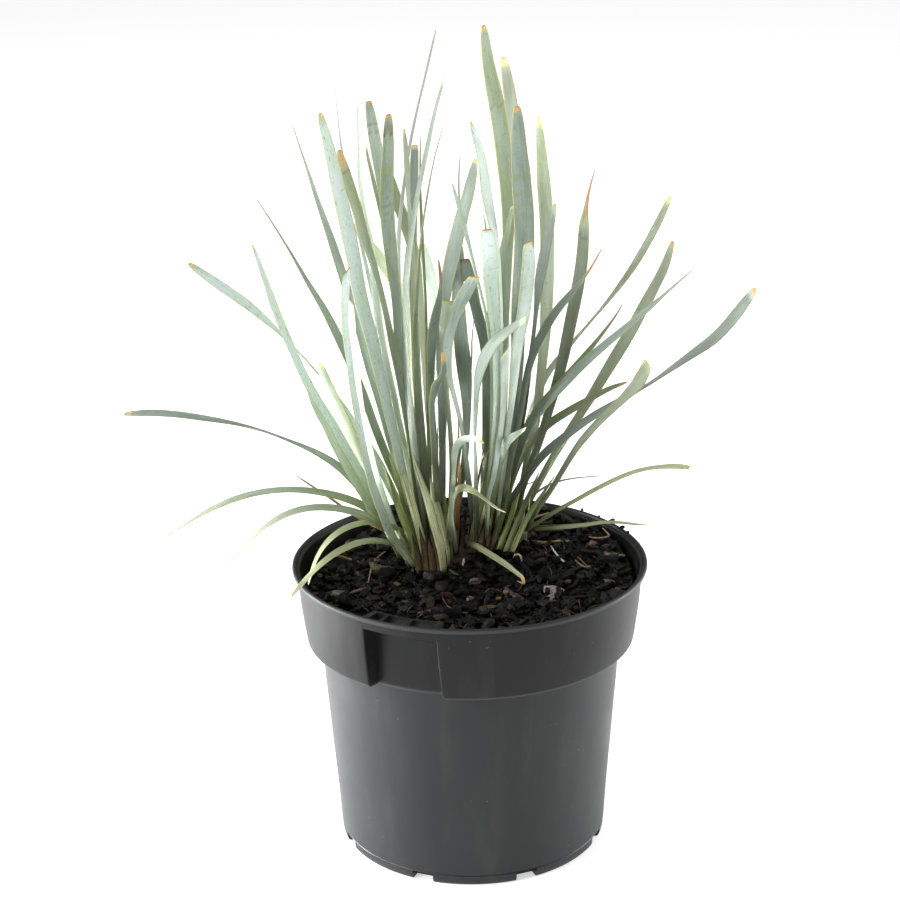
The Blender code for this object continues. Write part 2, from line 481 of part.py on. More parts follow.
def soil_height(x, y):
    """Height of the soil in mm, before its lumps."""
    lean = (0.35 * x + 0.94 * y) / 68.0
    heap = math.hypot(x - HEAP_MIDDLE[0], y - HEAP_MIDDLE[1]) / HEAP_REACH
    return SOIL_FRONT + SOIL_RISE * smooth_step((lean + 0.2) / 1.2) + SOIL_HEAP * math.exp(-heap * heap)


def crown_top(crown, x, y):
    """Height in mm of a crown's top at a place on it."""
    middle, half, height = CROWNS[crown]
    out = math.hypot((x - middle[0]) / half[0], (y - middle[1]) / half[1])
    return soil_height(x, y) + GAP + 0.8 + height * math.sqrt(max(0.0, 1 - out * out))


def rings_between(rings, columns, close_start, close_end):
    """Faces of a tube of rings of points. Its ends are closed by fans to a point, or left open."""
    faces = []
    for ring in range(rings - 1):
        for column in range(columns):
            a = ring * columns + column
            b = ring * columns + (column + 1) % columns
            faces.append((a, b, b + columns, a + columns))
    if close_start is not None:
        faces += [((column + 1) % columns, column, close_start) for column in range(columns)]
    if close_end is not None:
        last = (rings - 1) * columns
        faces += [(last + column, last + (column + 1) % columns, close_end) for column in range(columns)]
    return faces


def pot_angles():
    """Angles in degrees of the pot's columns, with close pairs of them at the recess's sides."""
    step = 360 / POT_COLUMNS
    sides = (RECESS_LEFT - RECESS_WALL, RECESS_LEFT, RECESS_RIGHT, RECESS_RIGHT + RECESS_WALL)
    close = [side + spread for side in sides for spread in (-SIDE_SPREAD, SIDE_SPREAD)]
    angles = [step * column - 180 for column in range(POT_COLUMNS)]
    angles = [angle for angle in angles if min(abs(angle - side) for side in close) > step / 4]
    return sorted(angles + close)


def in_recess(angle, inside):
    """Whether a column passes through the recess, which is wider inside by the wall at each side."""
    wall = RECESS_WALL if inside else 0
    return RECESS_LEFT - wall < angle < RECESS_RIGHT + wall


def column_point(angle, radius, height):
    """A point of a column. The columns at the recess's right side lean."""
    if abs(angle - RECESS_RIGHT) < 2 and height > COLLAR_BOTTOM - 1:
        angle -= RECESS_SLANT * (height - COLLAR_BOTTOM) / (RECESS_TOP - COLLAR_BOTTOM)
    turn = math.radians(angle)
    return (radius * math.sin(turn), -radius * math.cos(turn), height)


# Rings of the wall: radius and height, with the radius in the recess where it differs.
OUTSIDE_RINGS = (
    (53.2, 0.0),
    (BASE_RADIUS, 1.3),
    (55.2, 5.0),
    (NECK_RADIUS, 86.8),
    (NECK_RADIUS + 0.3, COLLAR_BOTTOM),
    (66.5, COLLAR_BOTTOM, 61.5),
    (67.1, COLLAR_BOTTOM + 1.5, 61.6),
    (69.7, RECESS_TOP - 0.4, 61.9),
    (69.8, RECESS_TOP),
    (70.1, POT_HEIGHT - 2.7),
    (LIP_RADIUS - 0.2, POT_HEIGHT - 2.1),
    (LIP_RADIUS, POT_HEIGHT - 0.8),
    (LIP_RADIUS - 0.6, POT_HEIGHT),
    (LIP_RADIUS - 1.5, POT_HEIGHT),
)
INSIDE_RINGS = (
    (69.9, POT_HEIGHT - 0.7),
    (69.3, SHELF_TOP),
    (68.9, SHELF_TOP - 0.3, 60.5),
    (65.5, COLLAR_BOTTOM + WALL, 59.9),
    (59.2, COLLAR_BOTTOM + WALL),
    (53.4, 2.2),
)
LEDGE = INSIDE_RINGS[3]
FLOOR = INSIDE_RINGS[-1]


def wall_radius(ring, angle, inside):
    return ring[2] if len(ring) > 2 and in_recess(angle, inside) else ring[0]


def inner_radius(height, angle):
    """Radius of the pot's inside between the ledge and the shelf's level."""
    rings = INSIDE_RINGS[3:1:-1]
    heights = [ring[1] for ring in rings]
    return float(np.interp(height, heights, [wall_radius(ring, angle, True) for ring in rings]))


def box_along(name, start, end, width, top, height):
    """A guide: a bar between two places, in mm."""
    start, end = np.array(start, float), np.array(end, float)
    side = end - start
    side = np.array([-side[1], side[0]]) * (width / 2 / np.linalg.norm(side))
    corners = (start - side, end - side, end + side, start + side)
    points = [(*corner, level) for level in (top - height, top) for corner in corners]
    faces = [(3, 2, 1, 0), (4, 5, 6, 7), (0, 1, 5, 4), (1, 2, 6, 5), (2, 3, 7, 6), (3, 0, 4, 7)]
    guide = add_object(name, points, faces, None)
    guide.hide_render = True
    guide.display_type = "WIRE"
    return guide


def combine(target, guide, operation):
    modifier = target.modifiers.new(guide.name, "BOOLEAN")
    modifier.operation = operation
    modifier.solver = "EXACT"
    modifier.object = guide


def make_pot():
    angles = pot_angles()
    points = []
    for rings, inside in ((OUTSIDE_RINGS, False), (INSIDE_RINGS, True)):
        for ring in rings:
            points += [column_point(angle, wall_radius(ring, angle, inside), ring[1]) for angle in angles]
    under, floor = len(points), len(points) + 1
    points += [(0, 0, 0), (0, 0, FLOOR[1])]
    faces = rings_between(len(OUTSIDE_RINGS) + len(INSIDE_RINGS), len(angles), under, floor)
    pot = add_object("pot", points, faces, material("charcoal_plastic", (0.062, 0.064, 0.068), 0.42))
    for number in range(DRAINS):
        turn = 2 * math.pi * (number + 0.5) / DRAINS
        outward = np.array([math.sin(turn), -math.cos(turn)])
        ends = (outward * DRAIN_INSIDE, outward * DRAIN_OUTSIDE)
        drain = box_along(f"drain_{number}", *ends, DRAIN_WIDTH, DRAIN_TOP, DRAIN_TOP + 2)
        combine(pot, drain, "DIFFERENCE")
    for number, cell in enumerate(CELLS):
        turn = math.radians(sum(cell) / 2)
        outward = np.array([math.sin(turn), -math.cos(turn)])
        width = math.radians(cell[1] - cell[0]) * (CELL_INSIDE + CELL_OUTSIDE) / 2
        ends = (outward * CELL_INSIDE, outward * CELL_OUTSIDE)
        cutter = box_along(f"tag_cell_{number}", *ends, width, SHELF_TOP + 1, SHELF_TOP + 2 - RECESS_TOP)
        combine(pot, cutter, "DIFFERENCE")
    return pot


def lump(x, y):
    """Lumps of the soil, in mm, flattened under the crowns."""
    clear = min(
        math.hypot((x - middle[0]) / (half[0] + 5), (y - middle[1]) / (half[1] + 5))
        for middle, half, _ in CROWNS.values()
    )
    rough = math.sin(0.31 * x + 1.7) * math.cos(0.27 * y - 0.6) + 0.6 * math.sin(0.57 * x - 0.41 * y)
    return SOIL_LUMP * rough * smooth_step((clear - 1.0) / 0.4)


def soil_angle(angle):
    """A column's angle for the mix, moved clear of the recess's side walls."""
    clear = math.degrees(SOIL_CLEAR / LEDGE[0])
    if abs(angle - (RECESS_LEFT - RECESS_WALL)) < 2 * SIDE_SPREAD:
        return angle - clear
    if abs(angle - (RECESS_RIGHT + RECESS_WALL)) < 2 * SIDE_SPREAD:
        return angle + clear
    return angle


def make_soil():
    columns = [(angle, soil_angle(angle)) for angle in pot_angles()]
    points = []
    for radius, height in ((FLOOR[0] - 0.6, FLOOR[1] + GAP), (58.7, LEDGE[1] + GAP)):
        points += [column_point(angle, radius, height) for _, angle in columns]
    for column, angle in columns:
        points.append(column_point(angle, wall_radius(LEDGE, column, True) - SOIL_CLEAR, LEDGE[1] + GAP))
    rim = []
    for column, angle in columns:
        x, y, _ = column_point(angle, LIP_RADIUS - 4, 0)
        height = soil_height(x, y) + 0.5 * lump(x, y)
        rim.append(inner_radius(height, column) - SOIL_CLEAR)
        points.append(column_point(angle, rim[-1], height))
    for share in reversed(SOIL_RINGS):
        for radius, (_, angle) in zip(rim, columns):
            x, y, _ = column_point(angle, radius * share, 0)
            points.append((x, y, soil_height(x, y) + lump(x, y)))
    under, top = len(points), len(points) + 1
    points += [(0, 0, FLOOR[1] + GAP), (0, 0, soil_height(0, 0) + lump(0, 0))]
    faces = rings_between(4 + len(SOIL_RINGS), len(columns), under, top)
    return add_object("potting_mix", points, faces, material("bark_mix", (0.018, 0.016, 0.015), 0.9))


def make_crown(clump, finish):
    middle, half, _ = CROWNS[clump]
    points = []
    for low in (True, False):
        for ring in (CROWN_RINGS[1:] if low else reversed(CROWN_RINGS[1:])):
            for column in range(CROWN_COLUMNS):
                turn = 2 * math.pi * column / CROWN_COLUMNS
                reach = ring * (0.94 if low and ring == 1 else 1)
                x = middle[0] + half[0] * reach * math.sin(turn)
                y = middle[1] - half[1] * reach * math.cos(turn)
                points.append((x, y, soil_height(x, y) + GAP if low else crown_top(clump, x, y)))
    under, top = len(points), len(points) + 1
    points += [(*middle, soil_height(*middle) + GAP), (*middle, crown_top(clump, *middle))]
    faces = rings_between(2 * len(CROWN_RINGS[1:]), CROWN_COLUMNS, under, top)
    return add_object(f"{clump}_crown", points, faces, finish)


class Blade:
    """One leaf: its stations from the root to the tip, each a point of the view with a depth."""

    def __init__(self, name, clump, tip_depth, turn, tone, path):
        self.name, self.clump, self.tip_depth, self.turn, self.tone = name, clump, tip_depth, turn, tone
        self.path = np.array(path[::-1], float)
        middle, half, _ = CROWNS[clump]
        low, above = self.path[0], self.path[1]
        level = seen((*middle, soil_height(*middle)))[1]
        slope = min(max((low[0] - above[0]) / max(1.0, low[1] - above[1]), -0.8), 0.8)
        across = low[0] + slope * max(0.0, level - low[1])
        depth = middle[1] + half[1] * min(max((tip_depth - 10) / 90, -0.95), 0.95)
        self.root = np.array([place(across, level, depth)[0], depth])

    def plant(self):
        """Adds the root below the path, and spaces the stations evenly with their depths."""
        top = crown_top(self.clump, *self.root) + ROOT_LIFT
        across, down, distance = seen((*self.root, top))
        root = (across, down, ROOT_WIDTH * FOCAL / distance)
        first = 0
        while first < len(self.path) - 4:
            near, above = self.path[first], self.path[first + 1]
            if math.dist(near[:2], root[:2]) > 8 and (near[1] < down - 4 or above[1] > near[1]):
                break
            first += 1
        path = np.vstack([root, self.path[first:]])
        knots = np.concatenate([[0], np.cumsum(np.hypot(*np.diff(path[:, :2], axis=0).T))])
        share = np.linspace(0, 1, BLADE_STATIONS)
        sampled = smooth_samples(knots, path, share * knots[-1])
        self.across, self.down = sampled[:, 0], sampled[:, 1]
        self.width = np.interp(share * knots[-1], knots, path[:, 2])
        self.depth = self.root[1] + (self.tip_depth - self.root[1]) * share**1.25
        self.slim = np.ones(BLADE_STATIONS)

    def nudge(self, where, sideways, deeper):
        """Moves the stations near one along their sight lines and, low down, sideways.

        The root stays on the crown.
        """
        run = (np.arange(BLADE_STATIONS) - where) * self.spacing()
        near = SETTLE_STEP * np.exp(-((run / SETTLE_REACH) ** 2))
        height = np.arange(BLADE_STATIONS) * self.spacing()
        free = np.clip(1 - height / HIDDEN_RUN, 0, 1)
        self.depth += near * deeper
        self.slim *= 1 - SLIMMING * near
        self.across += near * free * sideways * FOCAL / VIEW_DISTANCE
        middle, half, _ = CROWNS[self.clump]
        self.root = self.root + near[0] * np.array([sideways, deeper])
        out = (self.root - middle) / half
        reach = np.hypot(*out)
        if reach > 0.93:
            self.root = middle + out * half * 0.93 / reach
        self.depth[0] = self.root[1]
        self.across[0], self.down[0], _ = seen((*self.root, crown_top(self.clump, *self.root) + ROOT_LIFT))

    def middle_line(self):
        return np.array([place(*station) for station in zip(self.across, self.down, self.depth)])

    def spacing(self):
        """Mean distance between stations, in mm."""
        return float(np.linalg.norm(np.diff(self.middle_line(), axis=0), axis=1).mean())

    def sections(self, margin=0.0):
        """The blade's corner points, four to a station: edge, face, edge, back."""
        line = self.middle_line()
        along = np.gradient(line, axis=0)
        along /= np.linalg.norm(along, axis=1)[:, None]
        view = line - EYE
        distance = np.linalg.norm(view, axis=1)
        view /= distance[:, None]
        sideways = np.cross(view, along)
        sideways /= np.linalg.norm(sideways, axis=1)[:, None]
        away = np.cross(along, sideways)
        run = np.concatenate([[0], np.cumsum(np.linalg.norm(np.diff(line, axis=0), axis=1))])
        shown = self.width * distance / FOCAL
        to_tip = (run[-1] - run) / TIP_TAPER
        whole = ROOT_WIDTH + (BLADE_WIDTH - ROOT_WIDTH) * np.clip(run / WIDEN_RUN, 0, 1)
        whole *= np.clip(to_tip, 0.02, 1) ** 0.6
        if self.tone == "straw":
            whole *= STRAW_WIDTH
        whole = np.maximum(shown + (whole - shown) * self.slim, shown)
        facing = np.clip(shown / whole, 0.12, 1)
        wide = sideways * facing[:, None] + away * (self.turn * np.sqrt(1 - facing**2))[:, None]
        flat = np.cross(wide, along)
        half = whole / 2 + margin
        thick = np.minimum(BLADE_THICK, 0.35 + 0.5 * whole) / 2 + margin
        corners = [
            line - wide * half[:, None],
            line + flat * thick[:, None],
            line + wide * half[:, None],
            line - flat * thick[:, None],
        ]
        return np.stack(corners, axis=1).reshape(-1, 3)


def blade_faces():
    """Faces of a blade. Both sides fold along the same diagonals, so that a twisted blade stays whole."""
    faces = [(0, 2, 1), (0, 3, 2)]
    for station in range(BLADE_STATIONS - 1):
        for corner in range(4):
            a = 4 * station + corner
            b = 4 * station + (corner + 1) % 4
            if corner % 2:
                faces += [(a, b, a + 4), (b, b + 4, a + 4)]
            else:
                faces += [(a, b + 4, a + 4), (a, b, b + 4)]
    last = 4 * (BLADE_STATIONS - 1)
    return faces + [(last, last + 1, last + 2), (last, last + 2, last + 3)]


def space_roots(blades):
    """Moves roots that stand too close apart, on their crown, and keeps the front blades in front."""
    for _ in range(200):
        for one, other in combinations(blades, 2):
            if one.clump != other.clump:
                continue
            offset = other.root - one.root
            if abs(offset[0]) < ROOT_ORDER and offset[1] * (other.tip_depth - one.tip_depth) < 0:
                one.root[1], other.root[1] = other.root[1], one.root[1]
                offset[1] = -offset[1]
            distance = max(1e-6, np.hypot(*offset))
            if distance < ROOT_SPACING:
                push = offset / distance * (ROOT_SPACING - distance) / 2
                one.root -= push
                other.root += push
        for blade in blades:
            middle, half, _ = CROWNS[blade.clump]
            out = (blade.root - middle) / half
            reach = np.hypot(*out)
            if reach > 0.88:
                blade.root = middle + out * half * 0.88 / reach


def settle(blades):
    """Moves blades that touch apart: along their sight lines, and near the crown sideways too."""
    faces = blade_faces()
    stations = np.arange(BLADE_STATIONS)
    touching = 0
    for turn in range(SETTLE_ROUNDS):
        shapes = [blade.sections(SETTLE_MARGIN) for blade in blades]
        trees = [BVHTree.FromPolygons([Vector(point) for point in shape], faces) for shape in shapes]
        low = [shape.min(axis=0) for shape in shapes]
        high = [shape.max(axis=0) for shape in shapes]
        lines = [blade.middle_line() for blade in blades]
        touching = 0
        for one, other in combinations(range(len(blades)), 2):
            if (low[one] > high[other]).any() or (low[other] > high[one]).any():
                continue
            hits = trees[one].overlap(trees[other])
            if not hits:
                continue
            touching += 1
            hit = sorted(hits)[turn * 7 % len(hits)]
            places = [min(BLADE_STATIONS - 1, max(0, (face - 2) / 8)) for face in hit]
            ends = [
                np.array([np.interp(where, stations, line[:, axis]) for axis in range(3)])
                for where, line in zip(places, (lines[one], lines[other]))
            ]
            aside = ends[1][0] - ends[0][0]
            aside /= max(0.5, abs(aside))
            behind = 1 if blades[other].tip_depth > blades[one].tip_depth else -1
            blades[one].nudge(places[0], -aside, -behind)
            blades[other].nudge(places[1], aside, behind)
        if not touching:
            break
    return touching


def make_blades():
    counts = {clump: 0 for clump in CROWNS}
    blades = []
    for clump, tip_depth, turn, tone, path in BLADES:
        counts[clump] += 1
        blades.append(Blade(f"leaf_{clump}_{counts[clump]:02d}", clump, tip_depth, turn, tone, path))
    space_roots(blades)
    for blade in blades:
        blade.plant()
    settle(blades)
    finishes = {tone: material(f"leaf_{tone}", colour, 0.5) for tone, colour in COLOURS.items()}
    faces = blade_faces()
    for blade in blades:
        add_object(blade.name, blade.sections(), faces, finishes[blade.tone])


def main():
    for old in list(bpy.data.objects):
        bpy.data.objects.remove(old, do_unlink=True)
    make_pot()
    make_soil()
    fibre = material("brown_sheath", (0.16, 0.10, 0.06), 0.8)
    for clump in CROWNS:
        make_crown(clump, fibre)
    make_blades()


main()
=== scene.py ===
"""Looks of the potted lomandra: a moulded nursery pot, chunky bark mix, two crowns and their strap leaves.

Every size is in mm until a mesh is made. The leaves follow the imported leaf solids, ring by ring. The
small leaves and the loose pieces are placed by points of the fixed view, in pixels, with a depth.
"""

import math

import bpy
import numpy as np
from mathutils import Matrix


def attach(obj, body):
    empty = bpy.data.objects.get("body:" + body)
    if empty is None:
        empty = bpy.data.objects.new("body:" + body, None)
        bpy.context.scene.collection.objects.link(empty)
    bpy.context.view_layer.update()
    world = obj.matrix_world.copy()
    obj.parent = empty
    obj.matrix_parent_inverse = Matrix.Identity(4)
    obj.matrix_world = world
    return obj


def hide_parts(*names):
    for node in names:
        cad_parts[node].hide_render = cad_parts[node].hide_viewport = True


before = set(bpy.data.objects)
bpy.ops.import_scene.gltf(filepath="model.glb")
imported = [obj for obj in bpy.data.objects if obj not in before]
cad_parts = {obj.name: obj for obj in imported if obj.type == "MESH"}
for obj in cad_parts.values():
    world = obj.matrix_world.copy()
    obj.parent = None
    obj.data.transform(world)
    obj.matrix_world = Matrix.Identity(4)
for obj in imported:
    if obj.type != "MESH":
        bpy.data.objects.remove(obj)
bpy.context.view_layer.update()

MM = 0.001
RANDOM = np.random.default_rng(41)

# The viewpoint: focal length and image middle in pixels, place in mm, angles in degrees.
FOCAL = 2154.5
IMAGE_SIZE = 900.0
IMAGE_MIDDLE = 450.0
EYE = np.array([-7.24, -811.85, 448.35])
PITCH = math.radians(19.19)
ROLL = math.radians(0.915)
SENSOR = 36.0

# Pot, in mm. Angles run from the front (-Y), positive to the right.
POT_HEIGHT = 119.2
LIP_CREST = 71.2
COLLAR_BOTTOM = 87.5
COLUMN_STEP = 1.5
RECESS_LEFT = -36.6
RECESS_RIGHT = -10.2
RECESS_SLANT = 1.2
RECESS_WALL = 1.35
RECESS_TOP = 113.3
SHELF_TOP = 117.6
CELLS = ((-35.6, -31.7), (-30.5, -22.1), (-20.9, -12.9))
CELL_INSIDE = 61.9
CELL_OUTSIDE = 68.5
DRAINS = 8
DRAIN_WIDTH = 9.0
DRAIN_TOP = 4.2

# Potting mix, in mm: low at the front, up to the lip behind on the right, heaped at the plant.
SOIL_FRONT = 105.0
SOIL_RISE = 12.0
SOIL_HEAP = 2.0
HEAP_MIDDLE = (0.0, 27.0)
HEAP_REACH = 30.0
SOIL_RADIUS = 66.4
MIX_BOTTOM = 2.6
WALL_GAP = 0.6
CHIPS = 2100
CRUMBS = 3000
ROOTLETS = 110
ROOTLET_REACH = 62.0

# Crowns: middle, half sizes across and behind, and height over the soil, in mm.
CROWNS = {
    "left": ((-12.0, 26.0), (14.0, 11.5), 3.2),
    "right": ((14.5, 33.0), (13.5, 10.5), 3.2),
}

# Leaves, in mm.
STATION_STEP = 3.2
OUTER_RUN = 48.0
OUTER_STEP = 1.1
TIP_STEPS = 12
TIP_RUN = 6.0
TIP_REACH = 25.0
SOLID_TAPER = 20.0
ACROSS = np.array([-1, -0.93, -0.74, -0.38, 0, 0.38, 0.74, 0.93, 1])
FOOT_REACH = 1.42
FOOT_WIDTH = 2.4
SEEN_PIXEL = 0.4
SEED_STEP = 0.618

# Feet of front leaves: across and down in pixels, and depth in mm.
FEET = {
    "leaf_left_17": (415.5, 567.0, 12.0),
    "leaf_left_18": (410.0, 560.0, 13.0),
}


def smooth_step(value):
    value = np.clip(value, 0.0, 1.0)
    return value * value * (3 - 2 * value)


def unit(vectors):
    """Vectors along the last axis, each made one long."""
    return vectors / np.linalg.norm(vectors, axis=-1, keepdims=True)


def mixed(first, second, share):
    """Colours between two, by a share for each point."""
    share = np.asarray(share, float)[..., None]
    return np.asarray(first, float) * (1 - share) + np.asarray(second, float) * share


# The view


def sight_line(across, down):
    """The direction from the eye through a point of the view."""
    right = across - IMAGE_MIDDLE
    up = IMAGE_MIDDLE - down
    level_right = (right * math.cos(ROLL) + up * math.sin(ROLL)) / FOCAL
    level_up = (up * math.cos(ROLL) - right * math.sin(ROLL)) / FOCAL
    forward = math.cos(PITCH) + level_up * math.sin(PITCH)
    upward = level_up * math.cos(PITCH) - math.sin(PITCH)
    return np.array([level_right, forward, upward])


def place(across, down, depth):
    """The place in mm on a sight line at a depth behind the pot's centre."""
    line = sight_line(across, down)
    return EYE + line * ((depth - EYE[1]) / line[1])


def soil_height(x, y):
    """Height of the mix in mm, before its lumps."""
    lean = (0.35 * x + 0.94 * y) / 68.0
    heap = np.hypot(x - HEAP_MIDDLE[0], y - HEAP_MIDDLE[1]) / HEAP_REACH
    return SOIL_FRONT + SOIL_RISE * smooth_step((lean + 0.2) / 1.2) + SOIL_HEAP * np.exp(-heap * heap)


def on_soil(across, down, above=0.0):
    """Where a sight line meets the mix, raised by a height in mm."""
    line = sight_line(across, down)
    low, high = 600.0, 1100.0
    for _ in range(40):
        middle = (low + high) / 2
        x, y, z = EYE + line * middle
        if z > soil_height(x, y) + above:
            low = middle
        else:
            high = middle
    return EYE + line * low


# Meshes


def in_scene(name, data):
    """A new object of its data, in the scene."""
    made = bpy.data.objects.new(name, data)
    bpy.context.scene.collection.objects.link(made)
    return made


def in_triangles(quads):
    return np.vstack([quads[:, [0, 1, 2]], quads[:, [0, 2, 3]]])


def mesh_piece(name, points, faces, finish, colours=None, smooth=True, values=None):
    """An object from points in mm and faces of equal length, with its colours and other values by point."""
    mesh = bpy.data.meshes.new(name)
    faces = np.asarray(faces, np.int32)
    mesh.vertices.add(len(points))
    mesh.vertices.foreach_set("co", (np.asarray(points, float) * MM).astype(np.float32).ravel())
    mesh.loops.add(faces.size)
    mesh.loops.foreach_set("vertex_index", faces.ravel())
    mesh.polygons.add(len(faces))
    mesh.polygons.foreach_set("loop_start", np.arange(len(faces), dtype=np.int32) * faces.shape[1])
    mesh.update(calc_edges=True)
    if colours is not None:
        layer = mesh.color_attributes.new("paint", "FLOAT_COLOR", "POINT")
        rgba = np.ones((len(points), 4), np.float32)
        rgba[:, :3] = colours
        layer.data.foreach_set("color", rgba.ravel())
    for key, field in (values or {}).items():
        field = np.asarray(field, np.float32)
        kind = "FLOAT_VECTOR" if field.ndim == 2 else "FLOAT"
        layer = mesh.attributes.new(key, kind, "POINT")
        layer.data.foreach_set("vector" if field.ndim == 2 else "value", field.ravel())
    if smooth:
        mesh.shade_smooth()
    else:
        mesh.shade_flat()
    mesh.materials.append(finish)
    return in_scene(name, mesh)


def rides(piece, slot, *nodes):
    """Ties a piece to the part's root body and hides the nodes that it dresses. The slot is not used."""
    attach(piece, "root")
    if nodes:
        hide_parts(*nodes)


class Heap:
    """Points, faces and colours of many small bodies, gathered into one mesh."""

    def __init__(self):
        self.points, self.faces, self.colours, self.count = [], [], [], 0
        self.fields = {}

    def add(self, points, faces, colours, **fields):
        points = np.asarray(points, float)
        self.points.append(points)
        self.faces.append(np.asarray(faces, int) + self.count)
        self.colours.append(np.broadcast_to(np.asarray(colours, float), points.shape))
        for key, field in fields.items():
            self.fields.setdefault(key, []).append(np.asarray(field, float))
        self.count += len(points)

    def piece(self, name, finish, smooth=True):
        fields = {key: np.concatenate(field) for key, field in self.fields.items()}
        arrays = np.vstack(self.points), np.vstack(self.faces)
        return mesh_piece(name, *arrays, finish, np.vstack(self.colours), smooth, fields)


def tube(points, radii, sides=7):
    """A closed tube of quads along points. Its ends are drawn together."""
    points = np.asarray(points, float)
    along = unit(np.gradient(points, axis=0))
    side = unit(np.cross(along, (0.13, 0.21, 0.97)))
    other = np.cross(side, along)
    turn = np.arange(sides) * 2 * np.pi / sides
    radii = np.broadcast_to(radii, len(points)).astype(float).copy()
    rings = points[:, None] + radii[:, None, None] * (
        side[:, None] * np.cos(turn)[None, :, None] + other[:, None] * np.sin(turn)[None, :, None]
    )
    start = points[0] + 0.02 * (rings[0] - points[0])
    end = points[-1] + 0.02 * (rings[-1] - points[-1])
    rings = np.concatenate([start[None], rings, end[None]])
    faces = []
    for ring in range(len(rings) - 1):
        for k in range(sides):
            a, b = ring * sides + k, ring * sides + (k + 1) % sides
            faces.append((a, a + sides, b + sides, b))
    return rings.reshape(-1, 3), faces


def smooth_line(points, steps=6):
    """A smooth line through points, with steps between each two."""
    points = np.asarray(points, float)
    knots = np.arange(len(points), dtype=float)
    return hermite(points, np.linspace(0, knots[-1], steps * (len(points) - 1) + 1))


def hermite(values, where):
    """Values at fractional places along a smooth curve through evenly numbered values."""
    slopes = np.gradient(values, axis=0)
    first = np.clip(where.astype(int), 0, len(values) - 2)
    t = (where - first)[:, None]
    return (
        (2 * t**3 - 3 * t**2 + 1) * values[first]
        + (t**3 - 2 * t**2 + t) * slopes[first]
        + (3 * t**2 - 2 * t**3) * values[first + 1]
        + (t**3 - t**2) * slopes[first + 1]
    )


# Materials


def node(tree, kind, inputs=None, **settings):
    """A shader node. An input is a number, a colour or another node's output."""
    made = tree.nodes.new(kind)
    for key, value in settings.items():
        setattr(made, key, value)
    for key, value in (inputs or {}).items():
        if isinstance(value, bpy.types.NodeSocket):
            tree.links.new(value, made.inputs[key])
        else:
            made.inputs[key].default_value = value
    return made


def finish_of(name, roughness):
    finish = bpy.data.materials.new(name)
    finish.use_nodes = True
    shader = finish.node_tree.nodes["Principled BSDF"]
    shader.inputs["Roughness"].default_value = roughness
    return finish, finish.node_tree, shader


def attribute(tree, name):
    return node(tree, "ShaderNodeAttribute", attribute_name=name)


def product(tree, first, second):
    return node(tree, "ShaderNodeMath", {0: first, 1: second}, operation="MULTIPLY").outputs[0]


def stretched(tree, where, factors):
    return node(tree, "ShaderNodeVectorMath", {0: where, 1: factors}, operation="MULTIPLY").outputs[0]


def noise(tree, where, scale, detail=3.0, roughness=0.55):
    inputs = {"Vector": where, "Scale": scale, "Detail": detail, "Roughness": roughness}
    return node(tree, "ShaderNodeTexNoise", inputs).outputs["Fac"]


def remap(tree, value, low, high, out_low=0.0, out_high=1.0):
    inputs = {"Value": value, "From Min": low, "From Max": high, "To Min": out_low, "To Max": out_high}
    return node(tree, "ShaderNodeMapRange", inputs, interpolation_type="SMOOTHSTEP").outputs["Result"]


def blended(tree, share, first, second, how="MIX"):
    """A colour between two, or the first one changed by the second. Each is a colour or a node's output."""
    first, second = (v if isinstance(v, bpy.types.NodeSocket) else (*v, 1.0) for v in (first, second))
    made = node(tree, "ShaderNodeMix", {0: share, 6: first, 7: second}, data_type="RGBA", blend_type=how)
    return made.outputs[2]


def bump(tree, height, distance, strength=1.0):
    inputs = {"Height": height, "Distance": distance, "Strength": strength}
    return node(tree, "ShaderNodeBump", inputs).outputs["Normal"]


def leaf_finish(name):
    """Waxy strap leaf: painted colour, fine lengthwise veins, pale bloom, green spots and small scratches."""
    finish, tree, shader = finish_of(name, 0.5)
    paint = attribute(tree, "paint").outputs["Color"]
    where = attribute(tree, "blade").outputs["Vector"]
    bloom = attribute(tree, "bloom").outputs["Fac"]
    bare = attribute(tree, "bare").outputs["Fac"]

    def grain(across, along, seed, detail, roughness):
        return noise(tree, stretched(tree, where, (across, along, seed)), 1.0, detail, roughness)

    veins = grain(3.6, 0.022, 7.0, 2.0, 0.65)
    patches = grain(0.22, 0.045, 5.0, 4.0, 0.6)
    blots = grain(1.3, 0.34, 3.0, 3.0, 0.6)
    scratches = grain(0.35, 2.2, 9.0, 1.0, 0.4)
    zones = grain(0.3, 0.05, 2.0, 2.0, 0.5)
    streaks = grain(2.3, 0.05, 11.0, 4.0, 0.7)
    dark_streak = product(tree, remap(tree, streaks, 0.50, 0.34), bare)
    light_streak = product(tree, remap(tree, streaks, 0.54, 0.70, 0.0, 0.75), bare)
    shaded = blended(tree, dark_streak, paint, (0.30, 0.34, 0.16), "MULTIPLY")
    streaked = blended(tree, light_streak, shaded, (2.1, 2.0, 1.8), "MULTIPLY")
    lined = blended(tree, remap(tree, veins, 0.36, 0.64, 0.0, 0.55), streaked, (0.60, 0.66, 0.46), "MULTIPLY")
    cover = product(tree, remap(tree, patches, 0.30, 0.68, 0.15, 1.0), bloom)
    waxed = blended(tree, cover, lined, (0.74, 0.84, 0.83))
    fresh = product(tree, remap(tree, blots, 0.57, 0.68, 0.0, 0.62), remap(tree, zones, 0.42, 0.6, 0.15, 1.0))
    spotted = blended(tree, fresh, waxed, (0.17, 0.23, 0.08))
    scored = product(tree, remap(tree, scratches, 0.665, 0.72, 0.0, 0.50), remap(tree, zones, 0.58, 0.42))
    scuffed = blended(tree, scored, spotted, (0.15, 0.17, 0.09))
    tree.links.new(scuffed, shader.inputs["Base Color"])
    tree.links.new(remap(tree, patches, 0.3, 0.7, 0.44, 0.60), shader.inputs["Roughness"])
    tree.links.new(bump(tree, veins, 0.00026, 0.7), shader.inputs["Normal"])
    return finish


